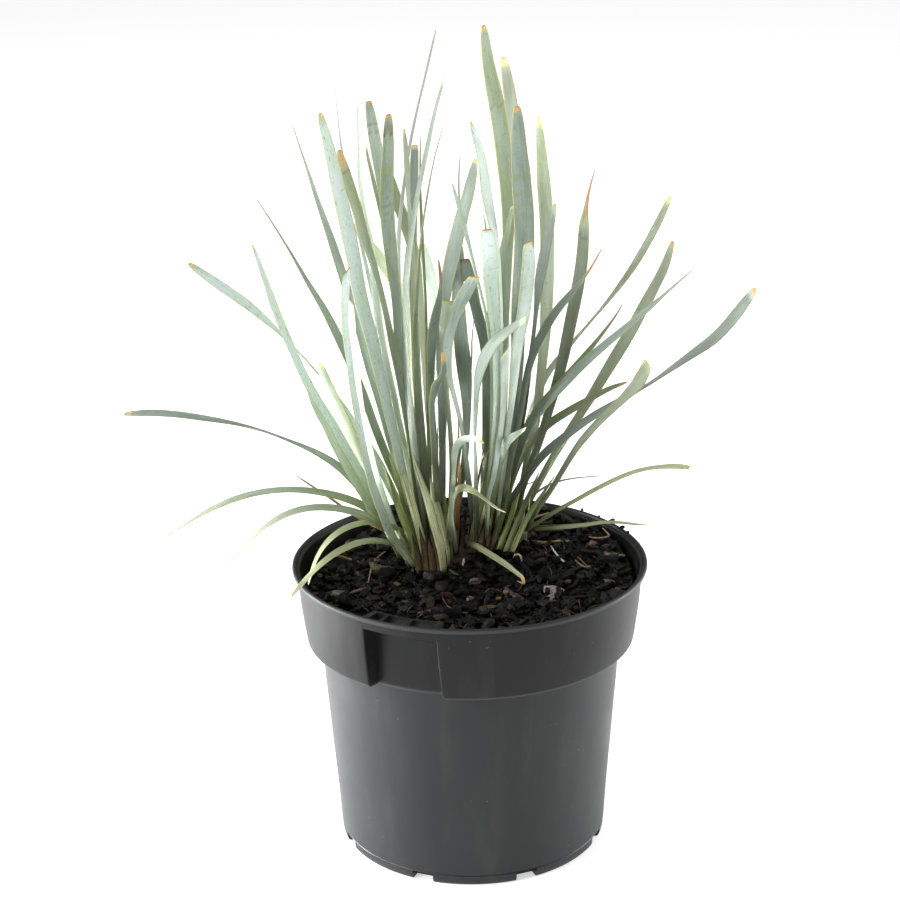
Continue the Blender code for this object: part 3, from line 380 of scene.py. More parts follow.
def pot_finish():
    """Charcoal moulded plastic: fine grain, faint clouding and a few specks of dust."""
    finish, tree, shader = finish_of("charcoal_plastic_worn_and_painted_light", 0.42)
    shader.inputs["Specular IOR Level"].default_value = 0.24
    where = node(tree, "ShaderNodeTexCoord").outputs["Object"]
    paint = attribute(tree, "paint").outputs["Color"]
    grain = noise(tree, where, 1100.0, 3.0, 0.6)
    cloud = noise(tree, where, 26.0, 4.0, 0.6)
    runs = noise(tree, stretched(tree, where, (70.0, 70.0, 12.0)), 1.0, 4.0, 0.65)
    dusty = blended(tree, remap(tree, runs, 0.45, 0.8, 0.0, 0.10), paint, (0.12, 0.115, 0.11))
    dots = noise(tree, where, 700.0, 1.0, 0.3)
    zone = noise(tree, where, 40.0, 2.0, 0.5)
    dust = product(tree, remap(tree, dots, 0.79, 0.84, 0.0, 0.6), remap(tree, zone, 0.5, 0.6))
    dotted = blended(tree, dust, dusty, (0.22, 0.20, 0.18))
    tree.links.new(dotted, shader.inputs["Base Color"])
    tree.links.new(remap(tree, cloud, 0.3, 0.7, 0.38, 0.47), shader.inputs["Roughness"])
    tree.links.new(bump(tree, grain, 0.00010, 0.30), shader.inputs["Normal"])
    return finish


def mix_finish(name, scale, roughness, gloss=0.14):
    """Bark and soil: painted colour, broken by grain, with damp glints."""
    finish, tree, shader = finish_of(name, roughness)
    shader.inputs["Specular IOR Level"].default_value = gloss
    where = node(tree, "ShaderNodeTexCoord").outputs["Object"]
    paint = attribute(tree, "paint").outputs["Color"]
    coarse = noise(tree, where, scale, 5.0, 0.65)
    fine = noise(tree, where, scale * 5, 3.0, 0.6)
    darker = blended(tree, remap(tree, coarse, 0.35, 0.7, 0.0, 0.7), paint, (0.003, 0.003, 0.003))
    lighter = blended(tree, remap(tree, fine, 0.66, 0.82, 0.0, 0.22), darker, (0.07, 0.06, 0.055))
    tree.links.new(lighter, shader.inputs["Base Color"])
    dulled = remap(tree, fine, 0.35, 0.7, roughness - 0.18, roughness + 0.2)
    tree.links.new(dulled, shader.inputs["Roughness"])
    tree.links.new(bump(tree, coarse, 0.0006, 0.7), shader.inputs["Normal"])
    return finish


def fibre_finish(name):
    """Dry sheaths and roots: painted colour with fine fibres along the piece."""
    finish, tree, shader = finish_of(name, 0.7)
    paint = attribute(tree, "paint").outputs["Color"]
    where = attribute(tree, "blade").outputs["Vector"]
    fibres = noise(tree, stretched(tree, where, (3.4, 0.16, 5.0)), 1.0, 3.0, 0.65)
    streaked = blended(tree, remap(tree, fibres, 0.4, 0.62, 0.0, 0.75), paint, (0.05, 0.03, 0.018))
    tree.links.new(streaked, shader.inputs["Base Color"])
    tree.links.new(bump(tree, fibres, 0.0004, 0.8), shader.inputs["Normal"])
    return finish


# Pot

# Rings of the wall: radius and height, then radius and height in the recess where they differ.
OUTSIDE_RINGS = (
    (40.0, 0.0),
    (53.4, 0.0),
    (54.2, 0.35),
    (54.7, 1.1),
    (54.95, 2.4),
    (55.05, 4.2),
    (54.85, 4.5),
    (55.15, 4.9),
    (56.1, 20.0),
    (57.7, 40.0),
    (59.2, 60.0),
    (60.0, 70.0),
    (60.55, 80.0),
    (60.7, 86.6),
    (60.9, 87.3, 61.0, 87.5),
    (65.9, 87.5, 61.4, 87.55),
    (66.5, 87.65, 61.5, 87.7),
    (66.85, 88.1, 61.52, 88.2),
    (67.0, 88.9, 61.55, 88.9),
    (67.6, 93.0, 61.65, 93.0),
    (68.9, 103.0, 61.8, 103.0),
    (69.65, 112.4, 61.9, 112.4),
    (69.7, 112.9, 62.0, 113.0),
    (69.72, 113.2, 62.6, RECESS_TOP),
    (69.76, 113.5, 69.3, RECESS_TOP),
    (69.8, 113.9, 69.72, RECESS_TOP + 0.25),
    (69.95, 115.6),
    (70.05, 116.6),
    (70.4, 116.85),
    (71.3, 117.0),
    (71.8, 117.35),
    (72.0, 118.0),
    (71.9, 118.65),
    (71.55, 119.05),
    (71.0, 119.2),
)
INSIDE_RINGS = (
    (70.6, 119.1),
    (70.3, 118.8),
    (70.1, 118.3),
    (69.8, 117.9),
    (69.3, 117.65, 69.2, SHELF_TOP),
    (69.0, 117.4, 60.9, SHELF_TOP),
    (68.9, 117.1, 60.55, SHELF_TOP - 0.15),
    (68.8, 116.4, 60.5, SHELF_TOP - 0.6),
    (67.2, 103.0, 60.2, 103.0),
    (65.6, 90.0, 59.9, 90.0),
    (64.9, 89.2, 59.7, 89.2),
    (59.4, 89.1),
    (58.9, 88.2),
    (57.4, 60.0),
    (53.6, 2.8),
    (53.0, 2.2),
)
# Sides of the recess: degrees inside its corner, and the share of its depth there.
SIDE_BEVEL = ((-0.75, 0.0), (-0.35, 0.012), (-0.12, 0.05), (-0.02, 0.16), (0.02, 0.9), (0.12, 1.0))


def recess_sides(inside):
    """Angles of the recess's two sides, on the pot's outside or inside, in degrees."""
    wall = RECESS_WALL if inside else 0.0
    return RECESS_LEFT - wall, RECESS_RIGHT + wall


def pot_columns():
    """Angles of the columns: even ones, with close ones at the recess's sides."""
    close = []
    for inside in (False, True):
        left, right = recess_sides(inside)
        for offset, _ in SIDE_BEVEL:
            close += [left + offset, right - offset]
    even = [angle for angle in np.arange(-180, 180, COLUMN_STEP) if min(abs(angle - c) for c in close) > 0.35]
    return np.array(sorted(even + close))


def depth_share(angles, inside):
    """How far into the recess each column is, from 0 to 1."""
    left, right = recess_sides(inside)
    offsets, shares = zip(*SIDE_BEVEL)
    inward = np.minimum(angles - left, right - angles)
    return np.interp(inward, offsets, shares)


def leaned(angles, height):
    """Angles of the columns at a height. The recess's right side leans, and its lower corner is round."""
    near = np.exp(-(((angles - RECESS_RIGHT) / 2.2) ** 4))
    lean = RECESS_SLANT * (height - COLLAR_BOTTOM) / (RECESS_TOP - COLLAR_BOTTOM)
    corner = 1.5 * np.clip(1 - (height - COLLAR_BOTTOM) / 2.2, 0, 1) ** 2
    return angles - near * np.where(height > COLLAR_BOTTOM - 0.3, lean - corner, 0.0)


def round_ring(turn, radii, heights):
    """Points at angles in radians, at radii and heights."""
    heights = np.broadcast_to(heights, turn.shape)
    return np.stack([radii * np.sin(turn), -radii * np.cos(turn), heights], axis=1)


def ring_points(angles, ring, inside):
    """One ring of the wall, which steps inward at the recess."""
    radius, height = ring[:2]
    inner_radius, inner_height = ring[-2:]
    share = depth_share(angles, inside) if len(ring) > 2 else np.zeros(len(angles))
    radii = radius + (inner_radius - radius) * share
    heights = height + (inner_height - height) * share
    return round_ring(np.radians(leaned(angles, heights)), radii, heights)


def tube_faces(rings, columns):
    ring, column = np.meshgrid(np.arange(rings - 1), np.arange(columns), indexing="ij")
    a = (ring * columns + column).ravel()
    b = (ring * columns + (column + 1) % columns).ravel()
    return np.stack([a, b, b + columns, a + columns], axis=1)


def cutter(name, boxes):
    """One guide mesh of boxes that stand on the pot's radii: start, end, width, low and high, in mm."""
    points, faces = [], []
    for start, end, width, low, high in boxes:
        start, end = np.array(start), np.array(end)
        side = end - start
        side = np.array([-side[1], side[0]]) * (width / 2 / np.linalg.norm(side))
        corners = (start - side, end - side, end + side, start + side)
        first = len(points)
        points += [(*corner, level) for level in (low, high) for corner in corners]
        sides = ((3, 2, 1, 0), (4, 5, 6, 7), (0, 1, 5, 4), (1, 2, 6, 5), (2, 3, 7, 6), (3, 0, 4, 7))
        faces += [[first + corner for corner in face] for face in sides]
    mesh = bpy.data.meshes.new(name)
    mesh.from_pydata([[MM * v for v in point] for point in points], [], faces)
    return in_scene(name, mesh)


def pot_boxes():
    """Boxes of the drainage cut-outs and of the tag holder's cells."""
    boxes = []
    for number in range(DRAINS):
        turn = 2 * math.pi * (number + 0.5) / DRAINS
        outward = np.array([math.sin(turn), -math.cos(turn)])
        boxes.append((outward * 49.5, outward * 58, DRAIN_WIDTH, -2.0, DRAIN_TOP))
    for first, last in CELLS:
        turn = math.radians((first + last) / 2)
        outward = np.array([math.sin(turn), -math.cos(turn)])
        width = math.radians(last - first) * (CELL_INSIDE + CELL_OUTSIDE) / 2
        boxes.append((outward * CELL_INSIDE, outward * CELL_OUTSIDE, width, RECESS_TOP - 1, SHELF_TOP + 1))
    return boxes


def make_pot():
    angles = pot_columns()
    rings = [ring_points(angles, ring, False) for ring in OUTSIDE_RINGS]
    rings += [ring_points(angles, ring, True) for ring in INSIDE_RINGS]
    points = np.concatenate(rings)
    count = len(angles)
    quads = tube_faces(len(rings), count)
    under, floor = len(points), len(points) + 1
    points = np.vstack([points, (0, 0, 0), (0, 0, INSIDE_RINGS[-1][1])])
    last = (len(rings) - 1) * count
    column = np.arange(count)
    fans = [np.stack([(column + 1) % count, column, np.full(count, under)], axis=1)]
    fans += [np.stack([last + column, last + (column + 1) % count, np.full(count, floor)], axis=1)]
    mesh = bpy.data.meshes.new("nursery_pot")
    faces = [tuple(face) for face in quads.tolist()] + [tuple(face) for fan in fans for face in fan.tolist()]
    mesh.from_pydata((points * MM).tolist(), [], faces)
    pot = in_scene("nursery_pot", mesh)
    guide = cutter("pot_guide", pot_boxes())
    cut = pot.modifiers.new("cut", "BOOLEAN")
    cut.operation, cut.solver, cut.object = "DIFFERENCE", "EXACT", guide
    bpy.context.view_layer.update()
    evaluated = pot.evaluated_get(bpy.context.evaluated_depsgraph_get())
    done = bpy.data.meshes.new_from_object(evaluated)
    pot.modifiers.clear()
    pot.data = done
    bpy.data.objects.remove(guide)
    done.shade_smooth()
    done.set_sharp_from_angle(angle=math.radians(32))
    places = np.empty(len(done.vertices) * 3, np.float32)
    done.vertices.foreach_get("co", places)
    x, y, z = places.reshape(-1, 3).T / MM
    # Lighter outer lip crest: partly wear, partly a painted highlight.
    lip_wear_and_highlight = smooth_step((np.hypot(x, y) - LIP_CREST) / 0.7) * smooth_step((z - 116) / 2)
    # Lighter band along the collar's lower edge: a painted highlight.
    low = smooth_step((z - COLLAR_BOTTOM + 1) / 1) * smooth_step((COLLAR_BOTTOM + 1.2 - z) / 0.8)
    # Grey of the plastic with these marks. The collar above 86 mm is made darker as painted shade.
    lightness_with_painted_light = 0.021 + 0.030 * lip_wear_and_highlight + 0.022 * low - 0.016 * smooth_step((z - 86) / 3)
    rgba = np.ones((len(z), 4), np.float32)
    rgba[:, 0], rgba[:, 1], rgba[:, 2] = lightness_with_painted_light, lightness_with_painted_light * 1.03, lightness_with_painted_light * 1.09
    done.color_attributes.new("paint", "FLOAT_COLOR", "POINT").data.foreach_set("color", rgba.ravel())
    done.materials.clear()
    done.materials.append(pot_finish())
    rides(pot, "charcoal_plastic", "pot")


# Potting mix


def mix_radius(angle):
    """How far the mix reaches, which is less behind the recess."""
    left, right = recess_sides(True)
    inward = np.minimum(angle - left, right - angle)
    return SOIL_RADIUS - 7.0 * smooth_step((inward + 1.0) / 1.4)


def mix_top(x, y):
    """Height of the mix with its lumps, in mm."""
    clear = np.minimum(*[
        np.hypot((x - middle[0]) / (half[0] + 5), (y - middle[1]) / (half[1] + 5))
        for middle, half, _ in CROWNS.values()
    ])
    rough = np.sin(0.31 * x + 1.7) * np.cos(0.27 * y - 0.6) + 0.6 * np.sin(0.57 * x - 0.41 * y)
    fine = np.sin(1.13 * x + 0.7 * y) * np.sin(0.91 * y - 0.4 * x)
    fine = fine + 0.7 * np.sin(2.1 * x + 1.3) * np.sin(1.7 * y)
    return soil_height(x, y) + (1.0 * rough + 0.45 * fine) * smooth_step((clear - 1.0) / 0.4)


def make_mix():
    columns = 240
    angles = np.linspace(-180, 180, columns, endpoint=False)
    turn = np.radians(angles)
    reach = mix_radius(angles)
    rings = []
    for radius, height in ((52.6, MIX_BOTTOM), (58.4, 89.0), (64.6, 89.6)):
        rings.append(round_ring(turn, np.minimum(radius, reach), height))
    shares = np.concatenate([[1.0], np.linspace(0.985, 0.03, 46)])
    for share in shares:
        x, y = reach * share * np.sin(turn), -reach * share * np.cos(turn)
        rings.append(np.stack([x, y, mix_top(x, y)], axis=1))
    points = np.concatenate(rings)
    faces = tube_faces(len(rings), columns)
    under, top = len(points), len(points) + 1
    points = np.vstack([points, (0, 0, MIX_BOTTOM), (0, 0, mix_top(0.0, 0.0))])
    column = np.arange(columns)
    last = (len(rings) - 1) * columns
    low = np.stack([(column + 1) % columns, column, np.full(columns, under)], axis=1)
    high = np.stack([last + column, last + (column + 1) % columns, np.full(columns, top)], axis=1)
    triangles = np.vstack([in_triangles(faces), low, high])
    tint = 0.5 + 0.5 * np.sin(points[:, 0] * 0.7 + 2.0 * np.sin(points[:, 1] * 0.45))
    colours = mixed((0.004, 0.004, 0.004), (0.010, 0.009, 0.008), tint)
    piece = mesh_piece("mix_bed", points, triangles, mix_finish("bark_mix_bed", 420.0, 0.78), colours)
    rides(piece, "bark_mix", "potting_mix")


def chip_body(length, width, thick, sides, rough=0.34):
    """An angular flake: a slab with an uneven outline, a sloping top and sharp edges. Points and faces."""
    turn = np.sort((np.arange(sides) + RANDOM.uniform(-0.4, 0.4, sides)) * 2 * np.pi / sides)
    reach = 1 + RANDOM.uniform(-rough, rough, sides)
    outline = np.stack([np.cos(turn) * reach * length / 2, np.sin(turn) * reach * width / 2], axis=1)
    top = outline * RANDOM.uniform(0.80, 1.0) + RANDOM.uniform(-0.07, 0.07, 2) * (length, width)
    slope = top @ RANDOM.uniform(-0.16, 0.16, 2)
    rings = [np.column_stack([outline * 0.8, np.full(sides, -0.5 * thick)])]
    rings.append(np.column_stack([outline, thick * RANDOM.uniform(-0.1, 0.25, sides)]))
    rings.append(np.column_stack([top, 0.5 * thick + slope]))
    peak_place = top.mean(axis=0) + RANDOM.uniform(-0.15, 0.15, 2) * (length, width)
    peak_height = (0.5 + RANDOM.uniform(-0.15, 0.4)) * thick
    points = np.vstack([*rings, (0, 0, -0.5 * thick), (*peak_place, peak_height)])
    faces = []
    for ring in range(2):
        for k in range(sides):
            a, b = ring * sides + k, ring * sides + (k + 1) % sides
            faces += [(a, b, b + sides), (a, b + sides, a + sides)]
    under, peak = 3 * sides, 3 * sides + 1
    for k in range(sides):
        a, b = k, (k + 1) % sides
        faces += [(b, a, under), (2 * sides + a, 2 * sides + b, peak)]
    return points, np.array(faces)


def turned(points, yaw, tilt, towards):
    """Points turned about the vertical by yaw, then tilted about a level axis."""
    cos, sin = math.cos(yaw), math.sin(yaw)
    points = points @ np.array([[cos, sin, 0], [-sin, cos, 0], [0, 0, 1]])
    axis = np.array([math.cos(towards), math.sin(towards), 0.0])
    matrix = np.array(Matrix.Rotation(tilt, 3, axis.tolist()))
    return points @ matrix.T


# Colours of the chips, each with its share.
CHIP_COLOURS = (
    ((0.005, 0.005, 0.005), 0.46),
    ((0.009, 0.008, 0.008), 0.28),
    ((0.017, 0.013, 0.011), 0.13),
    ((0.028, 0.028, 0.030), 0.05),
    ((0.050, 0.029, 0.018), 0.045),
    ((0.11, 0.075, 0.055), 0.02),
    ((0.10, 0.095, 0.05), 0.015),
)


def in_crown(x, y, margin):
    return any(
        math.hypot((x - middle[0]) / (half[0] + margin), (y - middle[1]) / (half[1] + margin)) < 1
        for middle, half, _ in CROWNS.values()
    )


def make_chips():
    heap = Heap()
    colours, weights = zip(*CHIP_COLOURS)
    weights = np.array(weights) / sum(weights)
    made = 0
    while made < CHIPS + CRUMBS:
        angle = RANDOM.uniform(-180, 180)
        radius = mix_radius(angle) * math.sqrt(RANDOM.uniform(0, 1))
        x, y = radius * math.sin(math.radians(angle)), -radius * math.cos(math.radians(angle))
        crumb = made >= CHIPS
        length = RANDOM.uniform(0.6, 1.8) if crumb else 2.6 + 9.0 * RANDOM.beta(1.2, 3.6)
        if in_crown(x, y, -2.0) or radius + length * 0.5 > mix_radius(angle) + 0.6:
            continue
        width, thick = length * RANDOM.uniform(0.30, 0.72), length * RANDOM.uniform(0.12, 0.32)
        points, faces = chip_body(length, width, thick, 4 if crumb else int(RANDOM.integers(5, 8)))
        tilt = RANDOM.normal(0, 0.42) if RANDOM.uniform() < 0.8 else RANDOM.uniform(-1.3, 1.3)
        points = turned(points, RANDOM.uniform(0, 6.28), tilt, RANDOM.uniform(0, 6.28))
        height = mix_top(x, y) + RANDOM.uniform(-0.1, 0.9) * thick + 0.3
        tone = np.array(colours[RANDOM.choice(len(colours), p=weights)]) * RANDOM.uniform(0.4, 1.1)
        heap.add(points + (x, y, height), faces, tone)
        made += 1
    piece = heap.piece("bark_chips", mix_finish("bark_chip", 650.0, 0.52), smooth=False)
    rides(piece, "bark_mix")


# Loose pieces that stand out, and a painted glint on one of them: across and down in the view, length,
# width, thickness, turn, tilt, colour.
HERO_CHIPS_AND_GLINT = (
    # The first two rows are the glinting chip. The first is a pink-grey chip, partly its own colour and
    # partly lightened as a painted highlight. The second is a near-white flake on it, which is a painted
    # glint.
    (554, 593, 11.0, 6.0, 2.4, 0.5, 0.25, (0.42, 0.34, 0.35)),
    (550, 598, 5.0, 3.4, 2.0, 0.3, -0.55, (0.86, 0.83, 0.83)),
    (475, 583, 5.2, 3.6, 1.8, 0.2, 0.25, (0.22, 0.14, 0.12)),
    (470, 600, 4.4, 3.0, 1.6, 1.1, 0.30, (0.20, 0.13, 0.11)),
    (568, 582, 4.0, 2.6, 1.4, 0.7, 0.20, (0.26, 0.17, 0.13)),
    (593, 544, 4.2, 2.4, 1.4, 0.3, 0.35, (0.24, 0.15, 0.12)),
    (630, 556, 4.0, 2.4, 1.2, 0.9, 0.20, (0.23, 0.15, 0.12)),
    (612, 555, 7.0, 3.4, 1.6, 0.4, 0.22, (0.17, 0.16, 0.10)),
    (547, 556, 6.4, 2.6, 1.6, 1.3, 0.85, (0.17, 0.10, 0.055)),
    (498, 599, 3.0, 1.8, 0.9, 0.5, 0.30, (0.42, 0.20, 0.08)),
    (510, 606, 5.0, 2.2, 0.7, 0.7, 0.15, (0.34, 0.24, 0.15)),
    (487, 609, 6.6, 3.0, 1.5, 0.2, 0.20, (0.16, 0.075, 0.045)),
    (610, 583, 5.6, 3.2, 1.6, 0.4, 0.25, (0.20, 0.14, 0.12)),
    (618, 590, 3.6, 2.4, 1.2, 1.2, 0.25, (0.22, 0.16, 0.13)),
    (422, 614, 4.2, 2.4, 1.2, 0.3, 0.15, (0.15, 0.10, 0.075)),
    (432, 611, 3.4, 2.2, 1.1, 0.9, 0.20, (0.17, 0.11, 0.08)),
    (396, 585, 4.6, 2.4, 1.0, 0.5, 0.20, (0.30, 0.22, 0.14)),
    (341, 541, 5.0, 3.0, 1.4, 0.8, 0.20, (0.26, 0.17, 0.16)),
    (385, 571, 10.5, 5.0, 2.4, 2.6, 0.25, (0.085, 0.052, 0.034)),
    (338, 596, 7.6, 5.0, 2.2, 0.2, 0.20, (0.17, 0.18, 0.15)),
    (347, 553, 4.0, 2.6, 1.6, 0.4, 0.20, (0.12, 0.15, 0.06)),
    (433, 579, 8.5, 6.0, 4.2, 0.4, 0.15, (0.017, 0.015, 0.015)),
    (442, 590, 9.0, 6.2, 4.0, 1.6, 0.20, (0.014, 0.013, 0.013)),
    (428, 594, 7.5, 5.0, 3.4, 0.8, 0.25, (0.018, 0.016, 0.015)),
)

# Crumbs on the lip: across, down and size in mm. Prills have a colour too.
RIM_CRUMBS = ((589, 507, 2.0), (619, 519, 2.6), (628, 526, 2.2), (606, 514, 1.4), (634, 531, 1.5))
PRILLS = ((490, 623, 2.9, (0.30, 0.28, 0.13)), (330, 549, 2.9, (0.56, 0.50, 0.38)))

# Roots, straws and twigs on the mix: colour, radius in mm, then points across and down in pixels, with
# a height over the mix in mm.
STRANDS = (
    ((0.72, 0.66, 0.55), 0.42, (551, 546, 1.2), (555, 552, 2.0), (560, 558, 1.6), (568, 565, 0.8)),
    ((0.62, 0.52, 0.42), 0.4, (513, 558, 0.6), (515, 555, 2.4), (518.5, 554.5, 3.0), (521, 557, 2.4),
     (522, 562, 0.6)),
    ((0.66, 0.6, 0.42), 0.55, (463, 566, 0.2), (463.5, 562, 1.6), (464, 558.5, 2.8)),
    ((0.5, 0.34, 0.18), 0.5, (520, 542, 1.2), (530, 541, 1.4), (545, 542.5, 1.2), (558, 541, 1.5),
     (570, 541, 1.0)),
    ((0.45, 0.28, 0.16), 0.48, (520, 522, 1.2), (531, 519, 2.0), (541, 515.5, 2.6), (549, 513, 2.2)),
    ((0.5, 0.3, 0.14), 0.42, (533, 531, 1.0), (541, 530, 1.8), (549, 532, 1.0)),
    ((0.42, 0.3, 0.18), 0.36, (593, 536, 1.0), (603, 537, 1.6), (613, 535, 2.0), (610, 531, 2.6),
     (607, 527, 2.0)),
    ((0.3, 0.16, 0.08), 0.6, (313, 552, 1.0), (322, 553, 1.6), (332, 556, 1.4), (341, 558, 1.0)),
    ((0.38, 0.28, 0.17), 0.33, (386, 551, 1.8), (377, 558, 2.2), (372, 567, 1.8), (369, 579, 1.4),
     (367, 591, 0.8)),
    ((0.22, 0.13, 0.08), 0.62, (348, 594, 1.0), (357, 591, 1.6), (367, 588, 1.0)),
    ((0.24, 0.15, 0.09), 0.4, (405, 597, 0.8), (412, 603, 1.2), (421, 606, 0.8)),
    ((0.3, 0.2, 0.12), 0.35, (575, 560, 0.8), (583, 566, 1.4), (592, 567, 0.8)),
    ((0.2, 0.12, 0.07), 0.45, (447, 606, 0.8), (458, 612, 1.4), (468, 613, 0.9)),
)
ROOTLET_COLOURS = ((0.16, 0.09, 0.05), (0.09, 0.05, 0.03), (0.26, 0.18, 0.11), (0.05, 0.03, 0.02))


def ball(radius, rows=8, columns=12, squash=1.0):
    angles = np.linspace(0.06, np.pi - 0.06, rows)
    turn = np.arange(columns) * 2 * np.pi / columns
    rings = [
        np.stack([r * np.cos(turn), r * np.sin(turn), np.full(columns, z)], axis=1)
        for r, z in zip(radius * np.sin(angles), radius * squash * np.cos(angles))
    ]
    faces = tube_faces(rows, columns)[:, ::-1]
    return np.concatenate(rings), faces


def kept_in(points):
    """A piece's points, moved inward together where they would reach the pot's wall."""
    away = np.hypot(points[:, 0], points[:, 1])
    over = max(0.0, away.max() - (SOIL_RADIUS - WALL_GAP))
    moved = points.copy()
    moved[:, :2] -= points[away.argmax(), :2] / away.max() * over
    return moved


def add_strand(heap, points, radii, sides, tone, length, step, seed):
    """Adds a thin tube whose fibres run along it."""
    rings, faces = tube(points, radii, sides)
    count = len(points) + 2
    along = np.repeat(np.linspace(0, length, count), sides)
    around = np.tile(np.arange(sides) * step, count)
    heap.add(rings, faces, tone, blade=np.stack([around, along, np.full(len(along), seed)], axis=1))


def make_loose_pieces():
    chips = Heap()
    for across, down, length, width, thick, yaw, tilt, tone in HERO_CHIPS_AND_GLINT:
        points, faces = chip_body(length, width, thick, 8, 0.16)
        points = turned(points, yaw, tilt, yaw + 0.8)
        middle = on_soil(across, down, 0.9)
        chips.add(kept_in(points + middle + (0, 0, thick * 0.2)), faces, tone)
    for across, down, size in RIM_CRUMBS:
        points, faces = chip_body(size, size * 0.7, size * 0.5, 6)
        line = sight_line(across, down)
        middle = EYE + line * ((POT_HEIGHT + size * 0.25 - EYE[2]) / line[2])
        middle[:2] *= LIP_CREST / math.hypot(middle[0], middle[1])
        chips.add(turned(points, across, 0.2, down) + middle, faces, (0.022, 0.019, 0.017))
    rides(chips.piece("bark_pieces_and_painted_glint", mix_finish("bark_piece_and_painted_glint", 520.0, 0.5), smooth=False), "bark_mix")

    prills = Heap()
    for across, down, size, tone in PRILLS:
        points, faces = ball(size / 2, squash=0.92)
        prills.add(kept_in(points + on_soil(across, down, size * 0.55)), faces, tone)
    rides(prills.piece("fertiliser_prills", mix_finish("prill", 900.0, 0.45)), "bark_mix")

    strands = Heap()
    for number, (tone, radius, *line) in enumerate(STRANDS):
        points = [on_soil(across, down, above + radius) for across, down, above in line]
        points = kept_in(smooth_line(points, 6))
        away = np.hypot(points[:, 0], points[:, 1])
        points[:, :2] *= np.minimum(1, (SOIL_RADIUS - 1.0) / away)[:, None]
        taper = radius * (0.55 + 0.45 * np.sin(np.linspace(0.15, 2.9, len(points))))
        add_strand(strands, points, taper, 7, tone, 30, 0.6, number * 1.7)
    add_rootlets(strands)
    rides(strands.piece("roots_and_straws", fibre_finish("dry_fibre")), "brown_sheath")


def add_rootlets(strands):
    """Adds short fine roots that wander over the mix."""
    for number in range(ROOTLETS):
        angle, share = RANDOM.uniform(0, 2 * math.pi), math.sqrt(RANDOM.uniform(0.02, 0.86))
        heading, length = RANDOM.uniform(0, 2 * math.pi), RANDOM.uniform(3, 13)
        bend = RANDOM.uniform(-0.10, 0.10)
        line = []
        x, y = ROOTLET_REACH * share * math.sin(angle), -ROOTLET_REACH * share * math.cos(angle)
        for step in range(6):
            x, y = x + length / 5 * math.cos(heading), y + length / 5 * math.sin(heading)
            heading += bend * length / 5 + RANDOM.normal(0, 0.12)
            arch = 1.3 * math.sin(math.pi * step / 5) * RANDOM.uniform(0.2, 1)
            line.append((x, y, mix_top(x, y) + 0.9 + arch))
        ends = np.array(line)
        edge = mix_radius(math.degrees(math.atan2(ends[-1, 0], -ends[-1, 1])))
        if np.hypot(ends[:, 0], ends[:, 1]).max() > edge - 2:
            continue
        points = smooth_line(ends, 3)
        tone = np.array(ROOTLET_COLOURS[number % len(ROOTLET_COLOURS)]) * RANDOM.uniform(0.7, 1.2)
        add_strand(strands, points, RANDOM.uniform(0.10, 0.22), 5, tone, length, 0.3, number * 0.9)


# Leaves

# Each tone: colour, and how much pale bloom covers it.
TONES = {
    "pale": ((0.44, 0.54, 0.50), 0.62),
    "grey": ((0.27, 0.34, 0.30), 0.34),
    "green": ((0.29, 0.34, 0.22), 0.26),
    "banded": ((0.28, 0.34, 0.27), 0.28),
    "olive": ((0.20, 0.25, 0.11), 0.16),
    "dark": ((0.13, 0.17, 0.15), 0.14),
    "straw": ((0.46, 0.48, 0.29), 0.2),
    "dry": ((0.34, 0.18, 0.08), 0.0),
    "base_pale": ((0.62, 0.64, 0.42), 0.30),
    "base_green": ((0.26, 0.31, 0.11), 0.05),
    "base_olive": ((0.19, 0.21, 0.09), 0.05),
    "base_brown": ((0.060, 0.034, 0.018), 0.0),
    "base_red": ((0.11, 0.032, 0.024), 0.0),
}
BASE_TONES = ("base_pale", "base_green", "base_olive", "base_brown", "base_red")
STREAK_COLOURS = {"base_pale": (0.74, 0.70, 0.46), "base_brown": (0.17, 0.10, 0.05)}
YELLOW = (0.80, 0.68, 0.30)
ORANGE = (0.72, 0.43, 0.16)
BROWN = (0.30, 0.13, 0.05)
BEIGE = (0.66, 0.53, 0.36)
LIME = (0.36, 0.44, 0.12)
LINE = (0.09, 0.08, 0.05)
